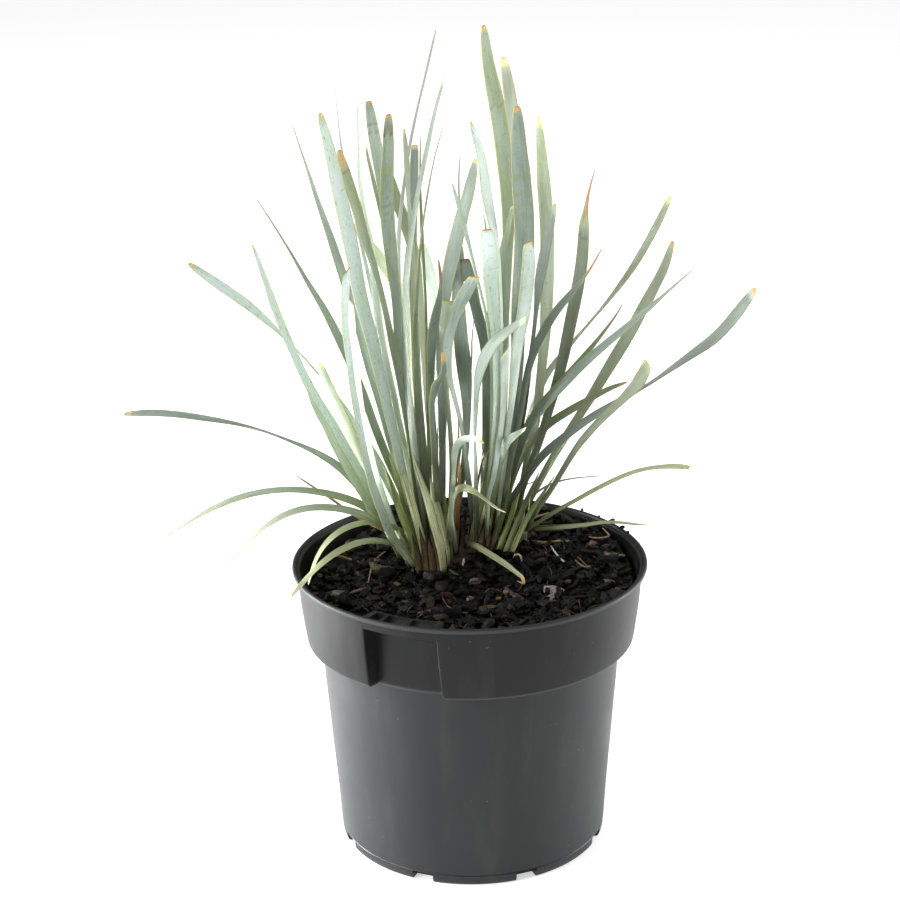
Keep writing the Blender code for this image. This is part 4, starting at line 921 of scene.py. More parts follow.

# The look of each leaf solid: tone, how blunt its tip is (0 is cut square), tip colour, length of the
# coloured tip in mm, how light its body is beside its tone, a factor that also paints in the light and shade
# that the leaf gets, and marks. A mark is its distance from the tip and its length in mm, its colour and its
# strength.
LOOKS = {
    "left": (
        ("pale", 0.32, YELLOW, 3.0, 1.62, (2.6, 0.8, BROWN, 0.8)),
        ("green", 0.27, (0.78, 0.52, 0.22), 8.6, 1.15, (9.0, 1.2, BROWN, 0.7), (22, 14, LIME, 0.3)),
        ("grey", 0.23, ORANGE, 1.6, 1.22, (9.2, 0.7, LINE, 0.6), (12.3, 0.7, LINE, 0.6)),
        ("dark", 0.87, BROWN, 2.0, 1.0),
        ("olive", 0.3, ORANGE, 2.4, 1.0),
        ("banded", 0.25, ORANGE, 1.6, 0.88,
         (5.5, 5, (0.2, 0.2, 0.07), 0.7), (7.8, 0.8, LINE, 0.8), (22.5, 1.8, LIME, 0.6),
         (31, 0.6, LINE, 0.35), (34, 0.6, LINE, 0.35), (37, 0.6, LINE, 0.35), (40.5, 0.6, LINE, 0.35)),
        ("olive", 0.16, ORANGE, 1.8, 1.0),
        ("green", 0.35, YELLOW, 2.0, 1.1),
        ("dark", 0.23, BROWN, 2.0, 0.7),
        ("dark", 0.08, YELLOW, 1.5, 1.0),
        ("grey", 0.45, YELLOW, 2.0, 0.42),
        ("grey", 0.2, YELLOW, 1.5, 1.0),
        ("dark", 0.44, BROWN, 13.5, 1.0, (30, 0.8, LINE, 0.6)),
        ("green", 0.04, LIME, 1.6, 1.0),
        ("grey", 0.63, YELLOW, 2.0, 1.2),
        ("dark", 0.41, BROWN, 2.0, 1.3),
        ("pale", 0.07, ORANGE, 1.0, 1.6),
        ("pale", 0.07, ORANGE, 1.4, 1.5),
        ("pale", 0.41, YELLOW, 2.6, 1.6),
        ("green", 0.22, YELLOW, 1.6, 1.0),
        ("pale", 0.32, YELLOW, 3.4, 1.55,
         (8, 1.5, (0.5, 0.34, 0.28), 0.5), (30, 1.2, LINE, 0.4), (35, 1.2, LINE, 0.4)),
        ("green", 0.42, YELLOW, 2.0, 1.0),
        ("grey", 0.21, BEIGE, 3.2, 0.62, (3.4, 0.8, BROWN, 0.7)),
        ("green", 0.73, BEIGE, 3.0, 0.8),
        ("green", 0.78, BEIGE, 3.0, 0.85),
        ("straw", 0.44, BEIGE, 4.0, 1.0),
        ("straw", 0.29, BEIGE, 4.0, 1.0),
        ("grey", 0.35, YELLOW, 1.6, 0.82),
        ("grey", 0.26, YELLOW, 1.6, 0.75, (14, 5, (0.07, 0.1, 0.04), 0.55)),
        ("pale", 0.25, LIME, 3.0, 0.95),
        ("straw", 0.61, BEIGE, 4.0, 1.0),
        ("straw", 0.38, ORANGE, 9.0, 1.0),
    ),
    "right": (
        ("green", 0.33, YELLOW, 2.6, 1.3, (32, 0.8, LINE, 0.5), (66, 7, LIME, 0.45)),
        ("green", 0.26, (0.8, 0.55, 0.25), 3.4, 0.65),
        ("grey", 0.29, ORANGE, 2.4, 0.72,
         (29, 2.5, LIME, 0.45), (36, 2, LIME, 0.4), (41, 2, LIME, 0.4), (46, 2.5, LIME, 0.45)),
        ("pale", 0.18, YELLOW, 1.8, 0.88),
        ("green", 0.41, YELLOW, 4.5, 1.0),
        ("grey", 0.34, LIME, 2.0, 0.38),
        ("pale", 0.39, YELLOW, 1.6, 1.3),
        ("pale", 0.14, ORANGE, 1.0, 1.5),
        ("pale", 0.34, YELLOW, 2.0, 0.34),
        ("green", 0.95, (0.46, 0.19, 0.07), 25.0, 0.6, (31, 1.0, LINE, 0.6)),
        ("dark", 0.4, (0.48, 0.24, 0.09), 15.0, 0.75),
        ("green", 0.21, YELLOW, 2.4, 0.68),
        ("green", 0.32, ORANGE, 3.0, 0.82),
        ("grey", 0.6, BROWN, 2.4, 1.0),
        ("pale", 0.23, ORANGE, 2.4, 0.36),
        ("green", 0.04, ORANGE, 1.2, 0.6),
        ("olive", 0.43, ORANGE, 3.0, 1.0),
        ("straw", 0.13, ORANGE, 1.4, 1.0),
        ("straw", 0.39, BEIGE, 3.0, 1.0),
        ("pale", 0.04, YELLOW, 1.0, 0.8),
        ("dark", 0.15, BROWN, 1.6, 1.0),
        ("pale", 0.09, YELLOW, 1.6, 0.6),
        ("green", 0.37, YELLOW, 2.0, 1.0),
        ("grey", 0.39, YELLOW, 1.6, 0.7),
    ),
}

# Small leaves: depth of the tip, tone, tip power, tip colour and tip length, then the middle line from
# the tip down: across, down and seen width in pixels.
SMALL_LEAVES = {
    "left": (
        (70, "green", 0.3, YELLOW, 1.6, (366.5, 147, 5), (368, 158, 5), (375, 187, 5), (386, 232, 7),
         (396, 300, 8), (401, 350, 8), (407, 410, 7), (415, 480, 6)),
        (22, "green", 0.5, YELLOW, 1.6, (445.3, 119, 1.4), (434, 160, 1.6), (426, 203, 2),
         (420.5, 245, 2.4), (416.6, 295, 4), (415.3, 340, 5.5), (417.5, 410, 7), (424, 475, 6)),
        (60, "olive", 0.4, YELLOW, 1.6, (420.4, 134, 1.6), (420.2, 185, 2.5), (422, 235, 4),
         (425.5, 300, 3), (427.5, 385, 3.5), (433, 480, 5)),
        (-30, "dark", 0.3, ORANGE, 8.0, (442.4, 351, 3), (444.2, 368, 3), (443, 374, 5), (436, 386, 9),
         (432, 402, 6), (432, 420, 5), (434, 450, 6), (439, 500, 5)),
        (14, "dry", 0.4, BEIGE, 3.0, (294, 474, 2), (308, 483.4, 3), (330, 498, 3.2), (352, 513.7, 2.6),
         (370, 523.5, 4), (390, 535, 3)),
        (66, "dark", 0.4, BROWN, 2.0, (474, 318, 1.2), (472, 340, 1.8), (471.5, 358, 2.2),
         (468, 400, 2.5), (460, 450, 3), (450, 500, 4)),
        (82, "grey", 0.4, YELLOW, 1.6, (459.5, 157, 1.6), (458.8, 182, 3), (459, 215, 2.5), (455, 270, 3),
         (450, 350, 4), (444, 430, 5), (438, 490, 5)),
        (104, "pale", 0.6, YELLOW, 1.5, (335, 88, 1), (338, 120, 1.5), (343, 157, 2.5), (358, 230, 3.5),
         (376, 310, 5), (395, 400, 6), (411, 480, 6)),
        (0, "dry", 0.6, BROWN, 4.0, (458, 417, 1.8), (458.5, 437, 3), (456, 470, 4), (452, 500, 4),
         (449, 530, 4)),
        (6, "dry", 0.3, ORANGE, 10.0, (459.5, 460, 3), (459, 485, 4), (459, 520, 3.4), (457, 545, 4)),
        (-2, "dry", 0.3, BROWN, 10.0, (454.5, 478, 2.4), (456, 500, 5), (457, 520, 5), (455, 545, 4)),
        (12, "dry", 0.3, BROWN, 10.0, (437.5, 428, 1.6), (437.3, 455, 2.4), (438, 490, 3), (440, 530, 3)),
    ),
    "right": (
        (-4, "pale", 0.3, YELLOW, 1.6, (452.4, 183.5, 4), (457.5, 202, 5.7), (464, 225, 5.5),
         (471, 252, 3.2), (478, 281, 3), (485.5, 312, 3), (491, 350, 4), (492.5, 390, 5), (492, 450, 6),
         (490, 500, 5)),
        (22, "olive", 0.7, YELLOW, 1.6, (625, 300, 2), (616, 315, 2.6), (604, 331.5, 4.5),
         (590, 349.2, 5.6), (575, 366.5, 7), (559, 384.5, 7.7), (543, 402, 7), (527, 426, 7),
         (519, 448, 7), (511, 484, 6)),
        (56, "dark", 0.6, BROWN, 3.0, (613, 476, 1), (600, 476, 1), (580, 477.5, 1.6), (560, 481, 2.2),
         (545, 487, 2.5), (530, 497, 3), (514, 512, 3), (506, 528, 3)),
        (60, "olive", 0.4, YELLOW, 4.0, (482.5, 212, 1.4), (485.5, 226, 2), (488, 260, 3), (489, 320, 4),
         (490, 400, 5), (491, 470, 5)),
        (16, "dry", 0.4, ORANGE, 6.0, (490, 448, 2), (486, 455, 3), (482, 462, 2.6), (478.5, 480, 2.4),
         (480, 505, 3), (484, 530, 3)),
        (52, "dry", 0.5, BROWN, 8.0, (539, 480, 1.6), (528, 484, 2), (520, 487, 2), (510, 500, 2.4),
         (503, 525, 3)),
        (14, "green", 0.5, YELLOW, 4.0, (485.5, 513, 3), (486, 520, 3.8), (483.5, 530, 4),
         (481, 545, 3.6)),
    ),
}

# Leaf bases and sheaths seen at the foot of the clumps: tone, then the middle line from the tip down:
# across, down and seen width in pixels, and depth in mm.
BASES = {
    "left": (
        ("base_pale", (394, 440, 5, 15), (401, 465, 7, 14.5), (409, 492, 8, 14), (416, 518, 8, 13.5),
         (423, 545, 8, 13.2), (427, 560, 7, 13)),
        ("base_pale", (410, 446, 5, 17), (418, 472, 7, 15.5), (427, 498, 8, 13.5), (434, 523, 9, 11.2),
         (440, 546, 9, 9.9), (443, 563, 8, 9.6)),
        ("base_pale", (430, 476, 7, 19), (435, 502, 10, 17.5), (440, 527, 12, 16), (444, 548, 11, 15),
         (446, 562, 9, 14.6)),
        ("base_green", (443, 486, 4, 21), (447, 516, 7, 19), (449.5, 542, 7, 17.5), (450, 562, 6, 16.5)),
        ("base_green", (383, 462, 5, 13), (393, 490, 7, 12.6), (403, 518, 8, 12.4), (412, 542, 8, 12.2),
         (418, 561, 7, 12)),
        ("base_olive", (388, 452, 5, 19), (398, 482, 7, 17.5), (408, 512, 8, 16), (417, 540, 8, 15),
         (423, 560, 7, 14)),
        ("base_olive", (417, 450, 6, 24), (426, 490, 8, 22), (434, 525, 9, 20), (440, 555, 8, 18)),
        ("base_olive", (456, 470, 4, 27), (457, 510, 5, 25), (456, 558, 5, 21)),
        ("base_brown", (419, 526, 1.5, 11.4), (421.5, 538, 4, 11.2), (425, 551, 8, 11),
         (428, 565, 9, 10.6)),
        ("base_brown", (412, 534, 1.5, 11.3), (415, 545, 4, 11.1), (418, 555, 7, 10.9),
         (421, 566, 8, 10.5)),
        ("base_brown", (428, 538, 1.5, 10.8), (430, 547, 4, 10.6), (432, 556, 7, 10.4),
         (434, 565, 8, 10.1)),
        ("base_red", (430, 530, 1.5, 10.5), (433, 542, 3, 10.2), (437, 554, 4, 9.9), (440, 565, 4, 9.7)),
        ("base_brown", (442, 540, 2, 13.2), (444, 552, 4, 12.6), (446, 564, 5, 12)),
    ),
    "right": (
        ("base_olive", (489, 460, 6, 25), (484, 488, 7, 24), (478, 516, 8, 23), (472, 541, 8, 22),
         (469, 558, 7, 21.2)),
        ("base_pale", (493, 474, 4, 24.5), (489, 497, 6, 23.6), (484, 518, 7, 22.8), (479, 540, 7, 22),
         (476, 556, 7, 21.4)),
        ("base_green", (497, 470, 6, 26), (493, 497, 8, 25), (488, 524, 8, 24), (484, 554, 7, 22.6)),
        ("base_olive", (511, 474, 5, 24), (503, 513, 6, 23), (495, 536, 6, 22.4), (488, 554, 6, 22)),
        ("base_green", (523, 474, 5, 24), (512, 513, 6, 23), (503, 538, 6, 22.2), (496, 556, 6, 21.6)),
        ("base_olive", (540, 470, 5, 23), (521, 513, 6, 22), (511, 538, 6, 21), (504, 557, 6, 20.2)),
        ("base_green", (556, 474, 4.5, 24), (529, 515, 5.5, 22), (517, 540, 5.5, 21),
         (510, 557, 5.5, 20.2)),
        ("base_brown", (486, 512, 2, 21.4), (484.5, 526, 6, 21), (482, 540, 8, 20.6), (480, 557, 8, 20.2)),
        ("base_red", (490, 524, 1.5, 21.0), (489, 538, 5, 20.7), (487, 556, 6, 20.3)),
        ("base_brown", (478, 530, 2, 20.9), (476, 543, 5, 20.6), (474, 558, 6, 20.2)),
    ),
}


def flat_rings(line, along, wide, widths):
    """Rings like a leaf solid's about a middle line, 0.6 mm thick: edge, face, edge and back of each."""
    flat = unit(np.cross(wide, along)) * 0.3
    half_wide = wide * widths[:, None] / 2
    return np.stack([line - half_wide, line + flat, line + half_wide, line - flat], axis=1)


def base_rings(path):
    """Rings of a leaf base from the mix up, seen flat on, from points of the view with depths."""
    path = np.array(path[::-1], float)
    line = np.array([place(across, down, depth) for across, down, _, depth in path])
    line[0, 2] = min(line[0, 2], float(soil_height(line[0, 0], line[0, 1])) + 0.3)
    along = np.gradient(line, axis=0)
    return flat_rings(line, along, unit(np.cross(line - EYE, along)), path[:, 2] * SEEN_PIXEL)


def joined_points(points, within=0.02):
    """Points nearer than a distance in mm made one, and the number of each old point's new one."""
    kept = np.empty((0, 3))
    index = np.empty(len(points), int)
    for number, point in enumerate(points):
        apart = np.abs(kept - point).max(axis=1) if len(kept) else np.array([np.inf])
        nearest = int(apart.argmin())
        if apart[nearest] > within:
            nearest = len(kept)
            kept = np.vstack([kept, point])
        index[number] = nearest
    return kept, index


def leaf_rings(name):
    """Rings of a leaf solid from the root to the tip: edge, face, edge and back of each, in mm."""
    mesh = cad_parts[name].data
    corners = np.empty(len(mesh.vertices) * 3, np.float32)
    mesh.vertices.foreach_get("co", corners)
    points, index = joined_points(corners.reshape(-1, 3).astype(float) / MM)
    ends = np.empty(len(mesh.edges) * 2, np.int32)
    mesh.edges.foreach_get("vertices", ends)
    near = [set() for _ in points]
    for one, other in index[ends].reshape(-1, 2):
        if one != other:
            near[one].add(int(other))
            near[other].add(int(one))
    face, back = [number for number, beside in enumerate(near) if len(beside) == 3]
    edge, other_edge = near[face] & near[back]
    rings = [(edge, face, other_edge, back)]
    used = set(rings[0])
    while near[face] - used:
        (face,), (back,) = near[face] - used, near[back] - used
        (edge,) = near[edge] - used - {face, back}
        (other_edge,) = near[other_edge] - used - {face, back}
        rings.append((edge, face, other_edge, back))
        used |= set(rings[-1])
    return points[np.array(rings)]


def crown_top(clump, x, y):
    middle, half, height = CROWNS[clump]
    out = math.hypot((x - middle[0]) / half[0], (y - middle[1]) / half[1])
    return float(soil_height(x, y)) + 1.15 + height * math.sqrt(max(0.0, 1 - out * out))


def small_rings(clump, tip_depth, path):
    """Rings of a small leaf like those of a leaf solid, from its seen middle line and its tip's depth."""
    middle, half, _ = CROWNS[clump]
    path = np.array(path[::-1], float)
    root_depth = middle[1] + half[1] * min(max((tip_depth - 10) / 90, -0.8), 0.8)
    run = np.concatenate([[0], np.cumsum(np.hypot(*np.diff(path[:, :2], axis=0).T))])
    depths = root_depth + (tip_depth - root_depth) * (run / run[-1]) ** 1.25
    line = np.array([place(across, down, depth) for (across, down, _), depth in zip(path, depths)])
    root = np.array([line[0, 0], root_depth])
    out = (root - middle) / half
    reach = math.hypot(*out)
    if reach > 0.9:
        root = middle + out * half * 0.9 / reach
    foot = np.array([*root, crown_top(clump, *root) - 0.5])
    if math.dist(foot, line[0]) > 5:
        line = np.vstack([foot, line])
        widths = np.concatenate([[FOOT_WIDTH], path[:, 2] * SEEN_PIXEL])
    else:
        line[0] = foot
        widths = path[:, 2] * SEEN_PIXEL
    along = np.gradient(line, axis=0)
    wide = unit(np.cross(line - EYE, along))
    turned_wide = wide * 0.94 + unit(np.cross(along, wide)) * 0.34
    return flat_rings(line, along, turned_wide, widths)


def straight_foot(middle, clump):
    """Where the lowest free stretch of a middle line points, near its crown's edge.

    None for a low arching leaf.
    """
    centre, half, _ = CROWNS[clump]
    down = unit(middle[2] - middle[3])
    if down[2] > -0.35:
        return None
    aim = middle[2] + down * max(0.0, (middle[2][2] - middle[0][2]) / -down[2])
    shift = aim[:2] - middle[0][:2]
    for share in np.linspace(1, 0, 21):
        foot = middle[0][:2] + shift * share
        if np.hypot(*((foot - centre) / half)) < FOOT_REACH:
            break
    return np.array([*foot, max(float(soil_height(*foot)) + 0.4, crown_top(clump, *foot) - 1.0)])


def even_line(rings, clump, straighten=True, foot=None):
    """A leaf's middle line, width direction, inward direction, width, run from its foot and run to its tip.

    The steps are even, and finer towards the tip.
    """
    middle = rings.mean(axis=1)
    wide = rings[:, 2] - rings[:, 0]
    widths = np.linalg.norm(wide, axis=1)
    wide = wide / widths[:, None]
    wide[-1] = wide[-2]
    if foot:
        moved = place(*foot)
    else:
        moved = straight_foot(middle, clump) if straighten else None
    if moved is not None:
        middle[0] = moved
        middle[1] = (moved + middle[2]) / 2
        wide[0] = wide[1] = wide[2]
    dense = np.linspace(0, len(rings) - 1, 30 * (len(rings) - 1) + 1)
    line = hermite(middle, dense)
    run = np.concatenate([[0], np.cumsum(np.linalg.norm(np.diff(line, axis=0), axis=1))])
    length = run[-1]
    tip_run = min(TIP_RUN, length / 4)
    outer = min(OUTER_RUN, length / 2)
    to_tip = np.concatenate([
        np.linspace(length, outer, max(6, int((length - outer) / STATION_STEP)), endpoint=False),
        np.linspace(outer, tip_run, max(4, int((outer - tip_run) / OUTER_STEP)), endpoint=False),
        0.06 + (tip_run - 0.06) * np.linspace(1, 0, TIP_STEPS) ** 1.7,
    ])
    where = np.interp(length - to_tip, run, dense)
    line = hermite(middle, where)
    wide = hermite(wide, where)
    along = unit(np.gradient(line, axis=0))
    wide = unit(wide - (wide * along).sum(axis=1)[:, None] * along)
    inward = np.cross(wide, along)
    axis = np.array([*CROWNS[clump][0], 0.0]) + (0, 0, 1) * (line[:, 2:] + 60)
    if (inward * (axis - line)).sum() < 0:
        inward, wide = -inward, -wide
    taper = min(SOLID_TAPER, length / 3)
    dense_widths = np.interp(dense, np.arange(len(widths)), widths)
    body = np.interp(np.minimum(length - to_tip, length - taper), run, dense_widths)
    return line, wide, inward, body, length - to_tip, to_tip


def leaf_paint(look, run, to_tip, across, upper, seed):
    """Colours of a leaf by place, how much pale bloom covers it, and how bare and streaked it is."""
    tone, _, tip_colour, tip_length, lightness_with_painted_light, *marks = look
    base, bloom = TONES[tone]
    bare = np.full(run.shape, 0.6)
    wave = np.sin(run * 0.11 + seed * 6.1) * 0.5 + np.sin(run * 0.047 + seed * 11.0) * 0.5
    colours = mixed(base, np.array(base) * (1.16, 1.10, 0.90), smooth_step(wave * 0.5 + 0.5) * 0.6)
    colours = colours * (1.0 + 0.05 * np.sin(across * 9 + seed * 5))[..., None]
    # The underside is tinted a darker olive green: painted shade, with painted light coming through the leaf.
    colours = mixed(colours, np.array(base) * (0.86, 0.98, 0.72), 0.5 * (1 - upper))
    edge = smooth_step((np.abs(across) - 0.78) / 0.18)
    if tone in BASE_TONES:
        bare = np.ones(run.shape)
        streak = 0.5 + 0.5 * np.sin(across * 8 + seed * 31) * np.cos(across * 3.1 + run * 0.05)
        lit = STREAK_COLOURS.get(tone, np.array(base) * 1.5)
        colours = mixed(colours, lit, 0.75 * streak**2)
        colours = mixed(colours, np.array(base) * 0.45, 0.5 * (1 - streak) ** 3)
        colours = mixed(colours, (0.10, 0.055, 0.03), 0.85 * np.exp(-((run / 3.5) ** 2)))
    elif tone != "dry":
        bare = np.exp(-((run / 40.0) ** 2))
        colours = mixed(colours, (0.50, 0.51, 0.18), 0.75 * edge)
        # Darker olive towards the foot: partly the leaf's own colour, partly painted shade where the leaves
        # crowd together.
        low = np.exp(-((run / 58.0) ** 2))
        colours = mixed(colours, (0.18, 0.22, 0.10), 0.80 * low)
        streak = np.exp(-((run / 20.0) ** 2)) * (0.5 + 0.5 * np.sin(across * 6 + seed * 17))
        colours = mixed(colours, (0.50, 0.50, 0.27), 0.5 * streak)
        colours = mixed(colours, (0.12, 0.07, 0.04), 0.8 * np.exp(-((run / 4.0) ** 2)))
    bloom = bloom * (1 - 0.85 * np.exp(-((run / 48.0) ** 2))) * (1 - 0.7 * edge)
    for distance, length, colour, strength in marks:
        jag = 0.35 * length * np.sin(across * 5 + seed * 9)
        share = strength * np.exp(-(((to_tip - distance + jag) / (0.55 * length)) ** 4))
        colours = mixed(colours, colour, share)
        bloom = bloom * (1 - 0.8 * share)
    jag = 0.22 * tip_length * (np.sin(across * 6.5 + seed * 13) + 0.5 * np.sin(across * 17 + seed * 3))
    tip = 1 - smooth_step((to_tip + jag - tip_length * 0.85) / min(0.5 * tip_length, 1.4))
    colours = mixed(colours, tip_colour, tip * (0.95 if tone != "dry" else 0.6))
    colours = mixed(colours, np.array(tip_colour) * (0.62, 0.42, 0.34), tip * smooth_step(1 - to_tip / 0.9))
    # The leaf's factor makes its body lighter or darker. This is partly its own tone and partly painted light
    # and painted shade. Its bloom follows the factor.
    body = smooth_step((to_tip - tip_length) / 4)[..., None]
    colours = np.clip(colours * (1 + (lightness_with_painted_light - 1) * body), 0, 0.86)
    return colours, np.clip(bloom * (1 - tip) * lightness_with_painted_light, 0, 1), bare


def add_leaf(heap, rings, clump, look, seed, straighten=True, foot=None):
    """Adds a thin channelled strap: nine columns on its upper side and seven below, closed at both ends."""
    line, wide, inward, body, run, to_tip = even_line(rings, clump, straighten, foot)
    tip_reach = min(TIP_REACH, run[-1] / 2.5)
    width = body * np.clip(to_tip / tip_reach, 0, 1) ** look[1]
    deep = 0.10 + 0.30 * np.exp(-((run / 38.0) ** 2)) + 0.03 * np.sin(run * 0.05 + seed * 7)
    thick = (0.30 + 0.26 * np.exp(-((run / 60.0) ** 2))) * np.clip(to_tip / 4, 0.35, 1)
    columns = np.concatenate([ACROSS, ACROSS[-2:0:-1]])
    upper = np.concatenate([np.ones(len(ACROSS)), np.zeros(len(ACROSS) - 2)])
    side = np.where(upper > 0, 1.0, -1.0) * np.sqrt(1 - 0.9 * columns**2)
    side[[0, len(ACROSS) - 1]] = 0
    half = width[:, None] / 2
    ripple = 0.10 * np.sin(run * 0.16 + seed * 20)[:, None] * columns[None] ** 2
    raised = deep[:, None] * half * (np.abs(columns[None]) ** 1.6 - 0.35) + ripple
    raised = raised + thick[:, None] / 2 * side[None]
    spread = wide[:, None] * (half * columns[None])[..., None]
    points = line[:, None] + spread + inward[:, None] * raised[..., None]
    count = len(columns)
    faces = tube_faces(len(run), count)
    caps = []
    for start, forward in ((0, False), ((len(run) - 1) * count, True)):
        for k in range(len(ACROSS) - 1):
            below = (count - k) % count, count - k - 1
            quad = (start + k, start + k + 1, start + below[1], start + below[0])
            if k == 0:
                quad = (start, start + 1, start + below[1], start + below[1])
            caps.append(quad if forward else quad[::-1])
    shape = len(run), count
    fields = run[:, None], to_tip[:, None], columns[None], upper[None]
    run, to_tip, across, upper = (np.broadcast_to(field, shape) for field in fields)
    colours, bloom, bare = leaf_paint(look, run, to_tip, across, upper, seed)
    blade = np.stack([across * half, run, np.full(shape, seed * 10.0)], axis=-1)
    split = in_triangles(np.vstack([faces, caps]))
    split = split[(split[:, 0] != split[:, 1]) & (split[:, 1] != split[:, 2]) & (split[:, 0] != split[:, 2])]
    values = {"blade": blade.reshape(-1, 3), "bloom": bloom.ravel(), "bare": bare.ravel()}
    heap.add(points.reshape(-1, 3), split, colours.reshape(-1, 3), **values)


def make_leaves():
    for clump in CROWNS:
        heap = Heap()
        nodes = [f"leaf_{clump}_{number:02d}" for number in range(1, len(LOOKS[clump]) + 1)]
        for number, name in enumerate(nodes):
            seed = number * SEED_STEP % 1
            add_leaf(heap, leaf_rings(name), clump, LOOKS[clump][number], seed, foot=FEET.get(name))
        for number, (depth, tone, blunt, tip_colour, tip_length, *path) in enumerate(SMALL_LEAVES[clump]):
            look = (tone, blunt, tip_colour, tip_length, 1.0)
            seed = (0.31 + number * SEED_STEP) % 1
            add_leaf(heap, small_rings(clump, depth, path), clump, look, seed)
        for number, (tone, *path) in enumerate(BASES[clump]):
            look = (tone, 0.75, np.array(TONES[tone][0]) * 0.6, 2.0, 1.0)
            seed = (0.53 + number * SEED_STEP) % 1
            add_leaf(heap, base_rings(path), clump, look, seed, straighten=False)
        rides(heap.piece(f"{clump}_leaves", leaf_finish(f"strap_leaf_{clump}")), "leaf_grey", *nodes)


# Crowns

CROWN_GROWTH = 1.12
SHEATHS = 34
SHEATH_COLOURS = (
    (0.13, 0.075, 0.04),
    (0.07, 0.04, 0.022),
    (0.20, 0.13, 0.07),
    (0.22, 0.22, 0.10),
    (0.30, 0.31, 0.16),
)


def make_crowns():
    for clump, (middle, half, height) in CROWNS.items():
        heap = Heap()
        columns, rows = 40, 12
        turn = np.arange(columns) * 2 * np.pi / columns
        rings = []
        for row in range(rows):
            share = math.cos(math.pi / 2 * row / rows)
            rise = math.sin(math.pi / 2 * row / rows)
            wobble = 1 + 0.05 * np.sin(turn * 5 + row)
            x = middle[0] + CROWN_GROWTH * half[0] * share * wobble * np.sin(turn)
            y = middle[1] - CROWN_GROWTH * half[1] * share * wobble * np.cos(turn)
            z = soil_height(x, y) + 0.3 + height * rise
            rings.append(np.stack([x, y, z], axis=1))
        points = np.concatenate(rings)
        share = 0.5 + 0.5 * np.sin(points[:, 0] * 2.3 + points[:, 1])
        tone = mixed((0.02, 0.014, 0.010), (0.09, 0.055, 0.032), share)
        blade = np.stack([points[:, 0], points[:, 2] * 3, np.zeros(len(points))], axis=1)
        heap.add(points, in_triangles(tube_faces(rows, columns)), tone, blade=blade)
        for number in range(SHEATHS):
            add_sheath(heap, clump, number)
        piece = heap.piece(f"{clump}_leaf_bases", fibre_finish(f"sheath_fibre_{clump}"))
        rides(piece, "brown_sheath", f"{clump}_crown")


def add_sheath(heap, clump, number):
    """A short scale of an old leaf base, which curves round the crown's edge and is frayed at its top."""
    middle, half, _ = CROWNS[clump]
    turn = 2 * math.pi * (number * SEED_STEP % 1)
    share = 0.93 - 0.5 * (number % 3) / 3
    outward = np.array([math.sin(turn), -math.cos(turn), 0.0])
    foot = np.array([middle[0] + half[0] * share * outward[0], middle[1] + half[1] * share * outward[1], 0.0])
    foot[2] = crown_top(clump, foot[0], foot[1]) - 1.6
    tall = RANDOM.uniform(6, 19) * (1.0 if number % 3 else 0.7)
    width = RANDOM.uniform(2.6, 5.4)
    side = np.cross(outward, (0, 0, 1.0))
    lean = RANDOM.uniform(0.02, 0.22)
    tone = np.array(SHEATH_COLOURS[int(RANDOM.integers(0, len(SHEATH_COLOURS)))]) * RANDOM.uniform(0.8, 1.15)
    rows, columns = 9, 7
    across = np.linspace(-1, 1, columns)
    ragged = RANDOM.uniform(0.72, 1.0, columns)
    grid = []
    for level in (1.0, -1.0):
        for row in range(rows):
            share = row / (rows - 1)
            narrow = width / 2 * (1 - 0.65 * share**1.6)
            for k, c in enumerate(across):
                up = tall * share * (ragged[k] if share > 0.6 else 1.0)
                bulge = -0.9 * c * c + level * 0.13
                grid.append(foot + side * narrow * c + outward * (bulge + lean * up) + np.array([0, 0, up]))
    points = np.array(grid)
    faces = []
    size = rows * columns
    for row in range(rows - 1):
        for k in range(columns - 1):
            a = row * columns + k
            faces += [(a, a + 1, a + columns + 1), (a, a + columns + 1, a + columns)]
            b = a + size
            faces += [(b, b + columns + 1, b + 1), (b, b + columns, b + columns + 1)]
    number_at = np.arange(size).reshape(rows, columns)
    border = [*number_at[0], *number_at[1:, -1], *number_at[-1, -2::-1], *number_at[-2:0:-1, 0]]
    for one, other in zip(border, border[1:] + border[:1]):
        faces += [(one, other + size, other), (one, one + size, other + size)]
    along = np.tile(np.repeat(np.linspace(0, tall, rows), columns), 2)
    around = np.tile(across * width / 2, rows * 2)
    blade = np.stack([around, along, np.full(len(along), number * 2.3)], axis=1)
    colours = mixed(tone, tone * 0.45, np.clip(along / tall, 0, 1) * 0.6)
    heap.add(points, faces, colours, blade=blade)


# Stage, in metres

FLOOR_REACH = 8.0


def make_floor():
    finish, _, shader = finish_of("studio_floor", 0.8)
    shader.inputs["Base Color"].default_value = (0.88, 0.88, 0.88, 1.0)
    shader.inputs["Specular IOR Level"].default_value = 0.1
    shader.inputs["Emission Color"].default_value = (1.0, 1.0, 1.0, 1.0)
    shader.inputs["Emission Strength"].default_value = 0.55
    mesh = bpy.data.meshes.new("floor")
    corners = ((-1, -1), (1, -1), (1, 1), (-1, 1))
    mesh.from_pydata([(FLOOR_REACH * x, FLOOR_REACH * y, 0) for x, y in corners], [], [(0, 1, 2, 3)])
    mesh.materials.append(finish)
    floor = in_scene("floor", mesh)


def turn_to(made, right, up, back, location):
    """Places an object, turned so that its axes point right, up and back."""
    rows = np.column_stack([right, up, back, location])
    made.matrix_world = Matrix(rows.tolist() + [[0, 0, 0, 1]])


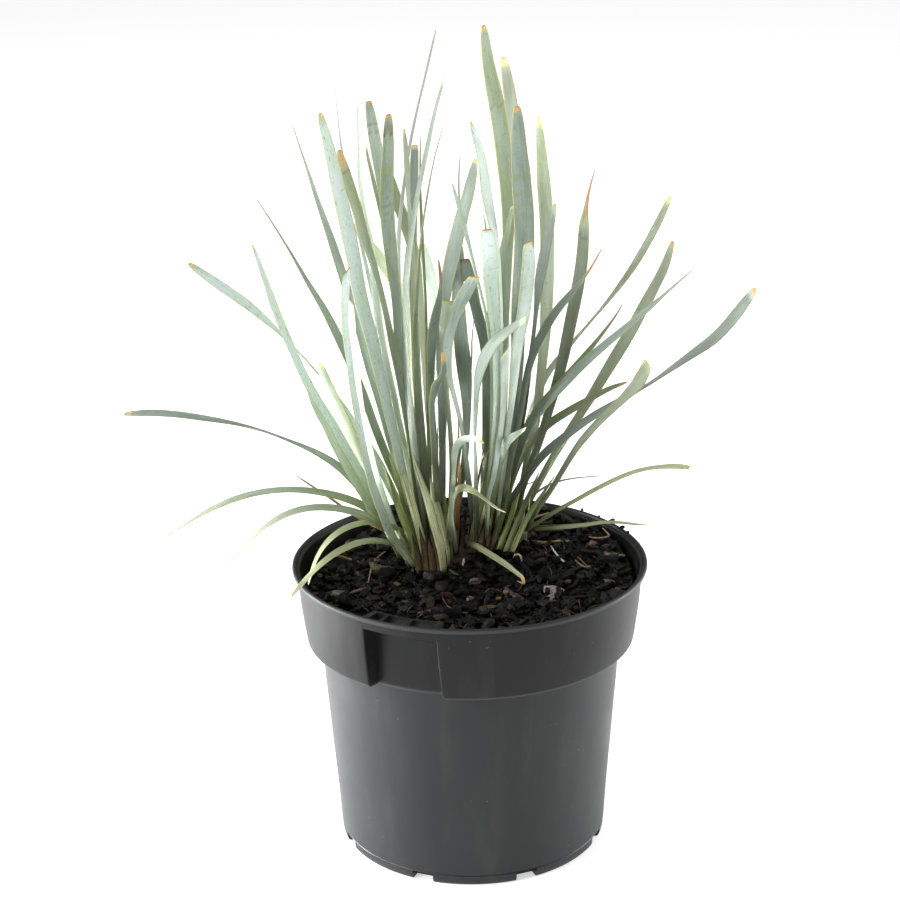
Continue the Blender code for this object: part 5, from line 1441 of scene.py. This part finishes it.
def add_light(name, location, target, size, power, spread=180.0):
    """A soft lamp that the camera doesn't see: sizes in metres, power in watts, spread in degrees."""
    lamp = bpy.data.lights.new(name, "AREA")
    lamp.shape = "RECTANGLE"
    lamp.size, lamp.size_y = size
    lamp.energy = power
    lamp.spread = math.radians(spread)
    made = in_scene(name, lamp)
    made.visible_camera = False
    away = unit(np.array(location) - np.array(target))
    side = unit(np.cross((0, 0, 1.0), away))
    turn_to(made, side, np.cross(away, side), away, location)


def make_lights():
    world = bpy.data.worlds.new("studio")
    world.use_nodes = True
    background = world.node_tree.nodes["Background"]
    background.inputs["Color"].default_value = (1.0, 1.0, 1.0, 1.0)
    background.inputs["Strength"].default_value = 0.40
    bpy.context.scene.world = world
    plant, rim, collar = (0.0, 0.0, 0.16), (0.0, 0.0, 0.1), (0.0, 0.0, 0.075)
    add_light("key", (-1.5, -0.85, 0.75), plant, (0.8, 0.8), 30.0)
    add_light("left_edge", (-1.3, 0.30, 0.35), rim, (0.6, 0.9), 24.0)
    add_light("right_edge", (1.3, 0.35, 0.4), rim, (0.5, 0.9), 9.0)
    add_light("pot_left", (-0.62, 0.15, 0.04), collar, (0.12, 0.12), 0.6, 32.0)
    add_light("pot_right", (0.62, 0.17, 0.05), collar, (0.12, 0.12), 0.19, 32.0)
    add_light("top", (0.25, 0.9, 1.6), plant, (1.2, 1.0), 7.0)


def make_camera():
    """The camera at the viewpoint, with the view's pitch and roll."""
    lens = bpy.data.cameras.new("camera")
    lens.sensor_fit = "HORIZONTAL"
    lens.sensor_width = SENSOR
    lens.lens = FOCAL / IMAGE_SIZE * SENSOR
    camera = in_scene("camera", lens)
    level_right = np.array([1.0, 0.0, 0.0])
    level_up = np.array([0.0, math.sin(PITCH), math.cos(PITCH)])
    right = level_right * math.cos(ROLL) - level_up * math.sin(ROLL)
    up = level_right * math.sin(ROLL) + level_up * math.cos(ROLL)
    turn_to(camera, right, up, np.cross(right, up), EYE * MM)
    bpy.context.scene.camera = camera
    bpy.context.scene.view_settings.view_transform = "Standard"


make_camera()
make_pot()
make_mix()
make_chips()
make_loose_pieces()
make_crowns()
make_leaves()
make_floor()
make_lights()
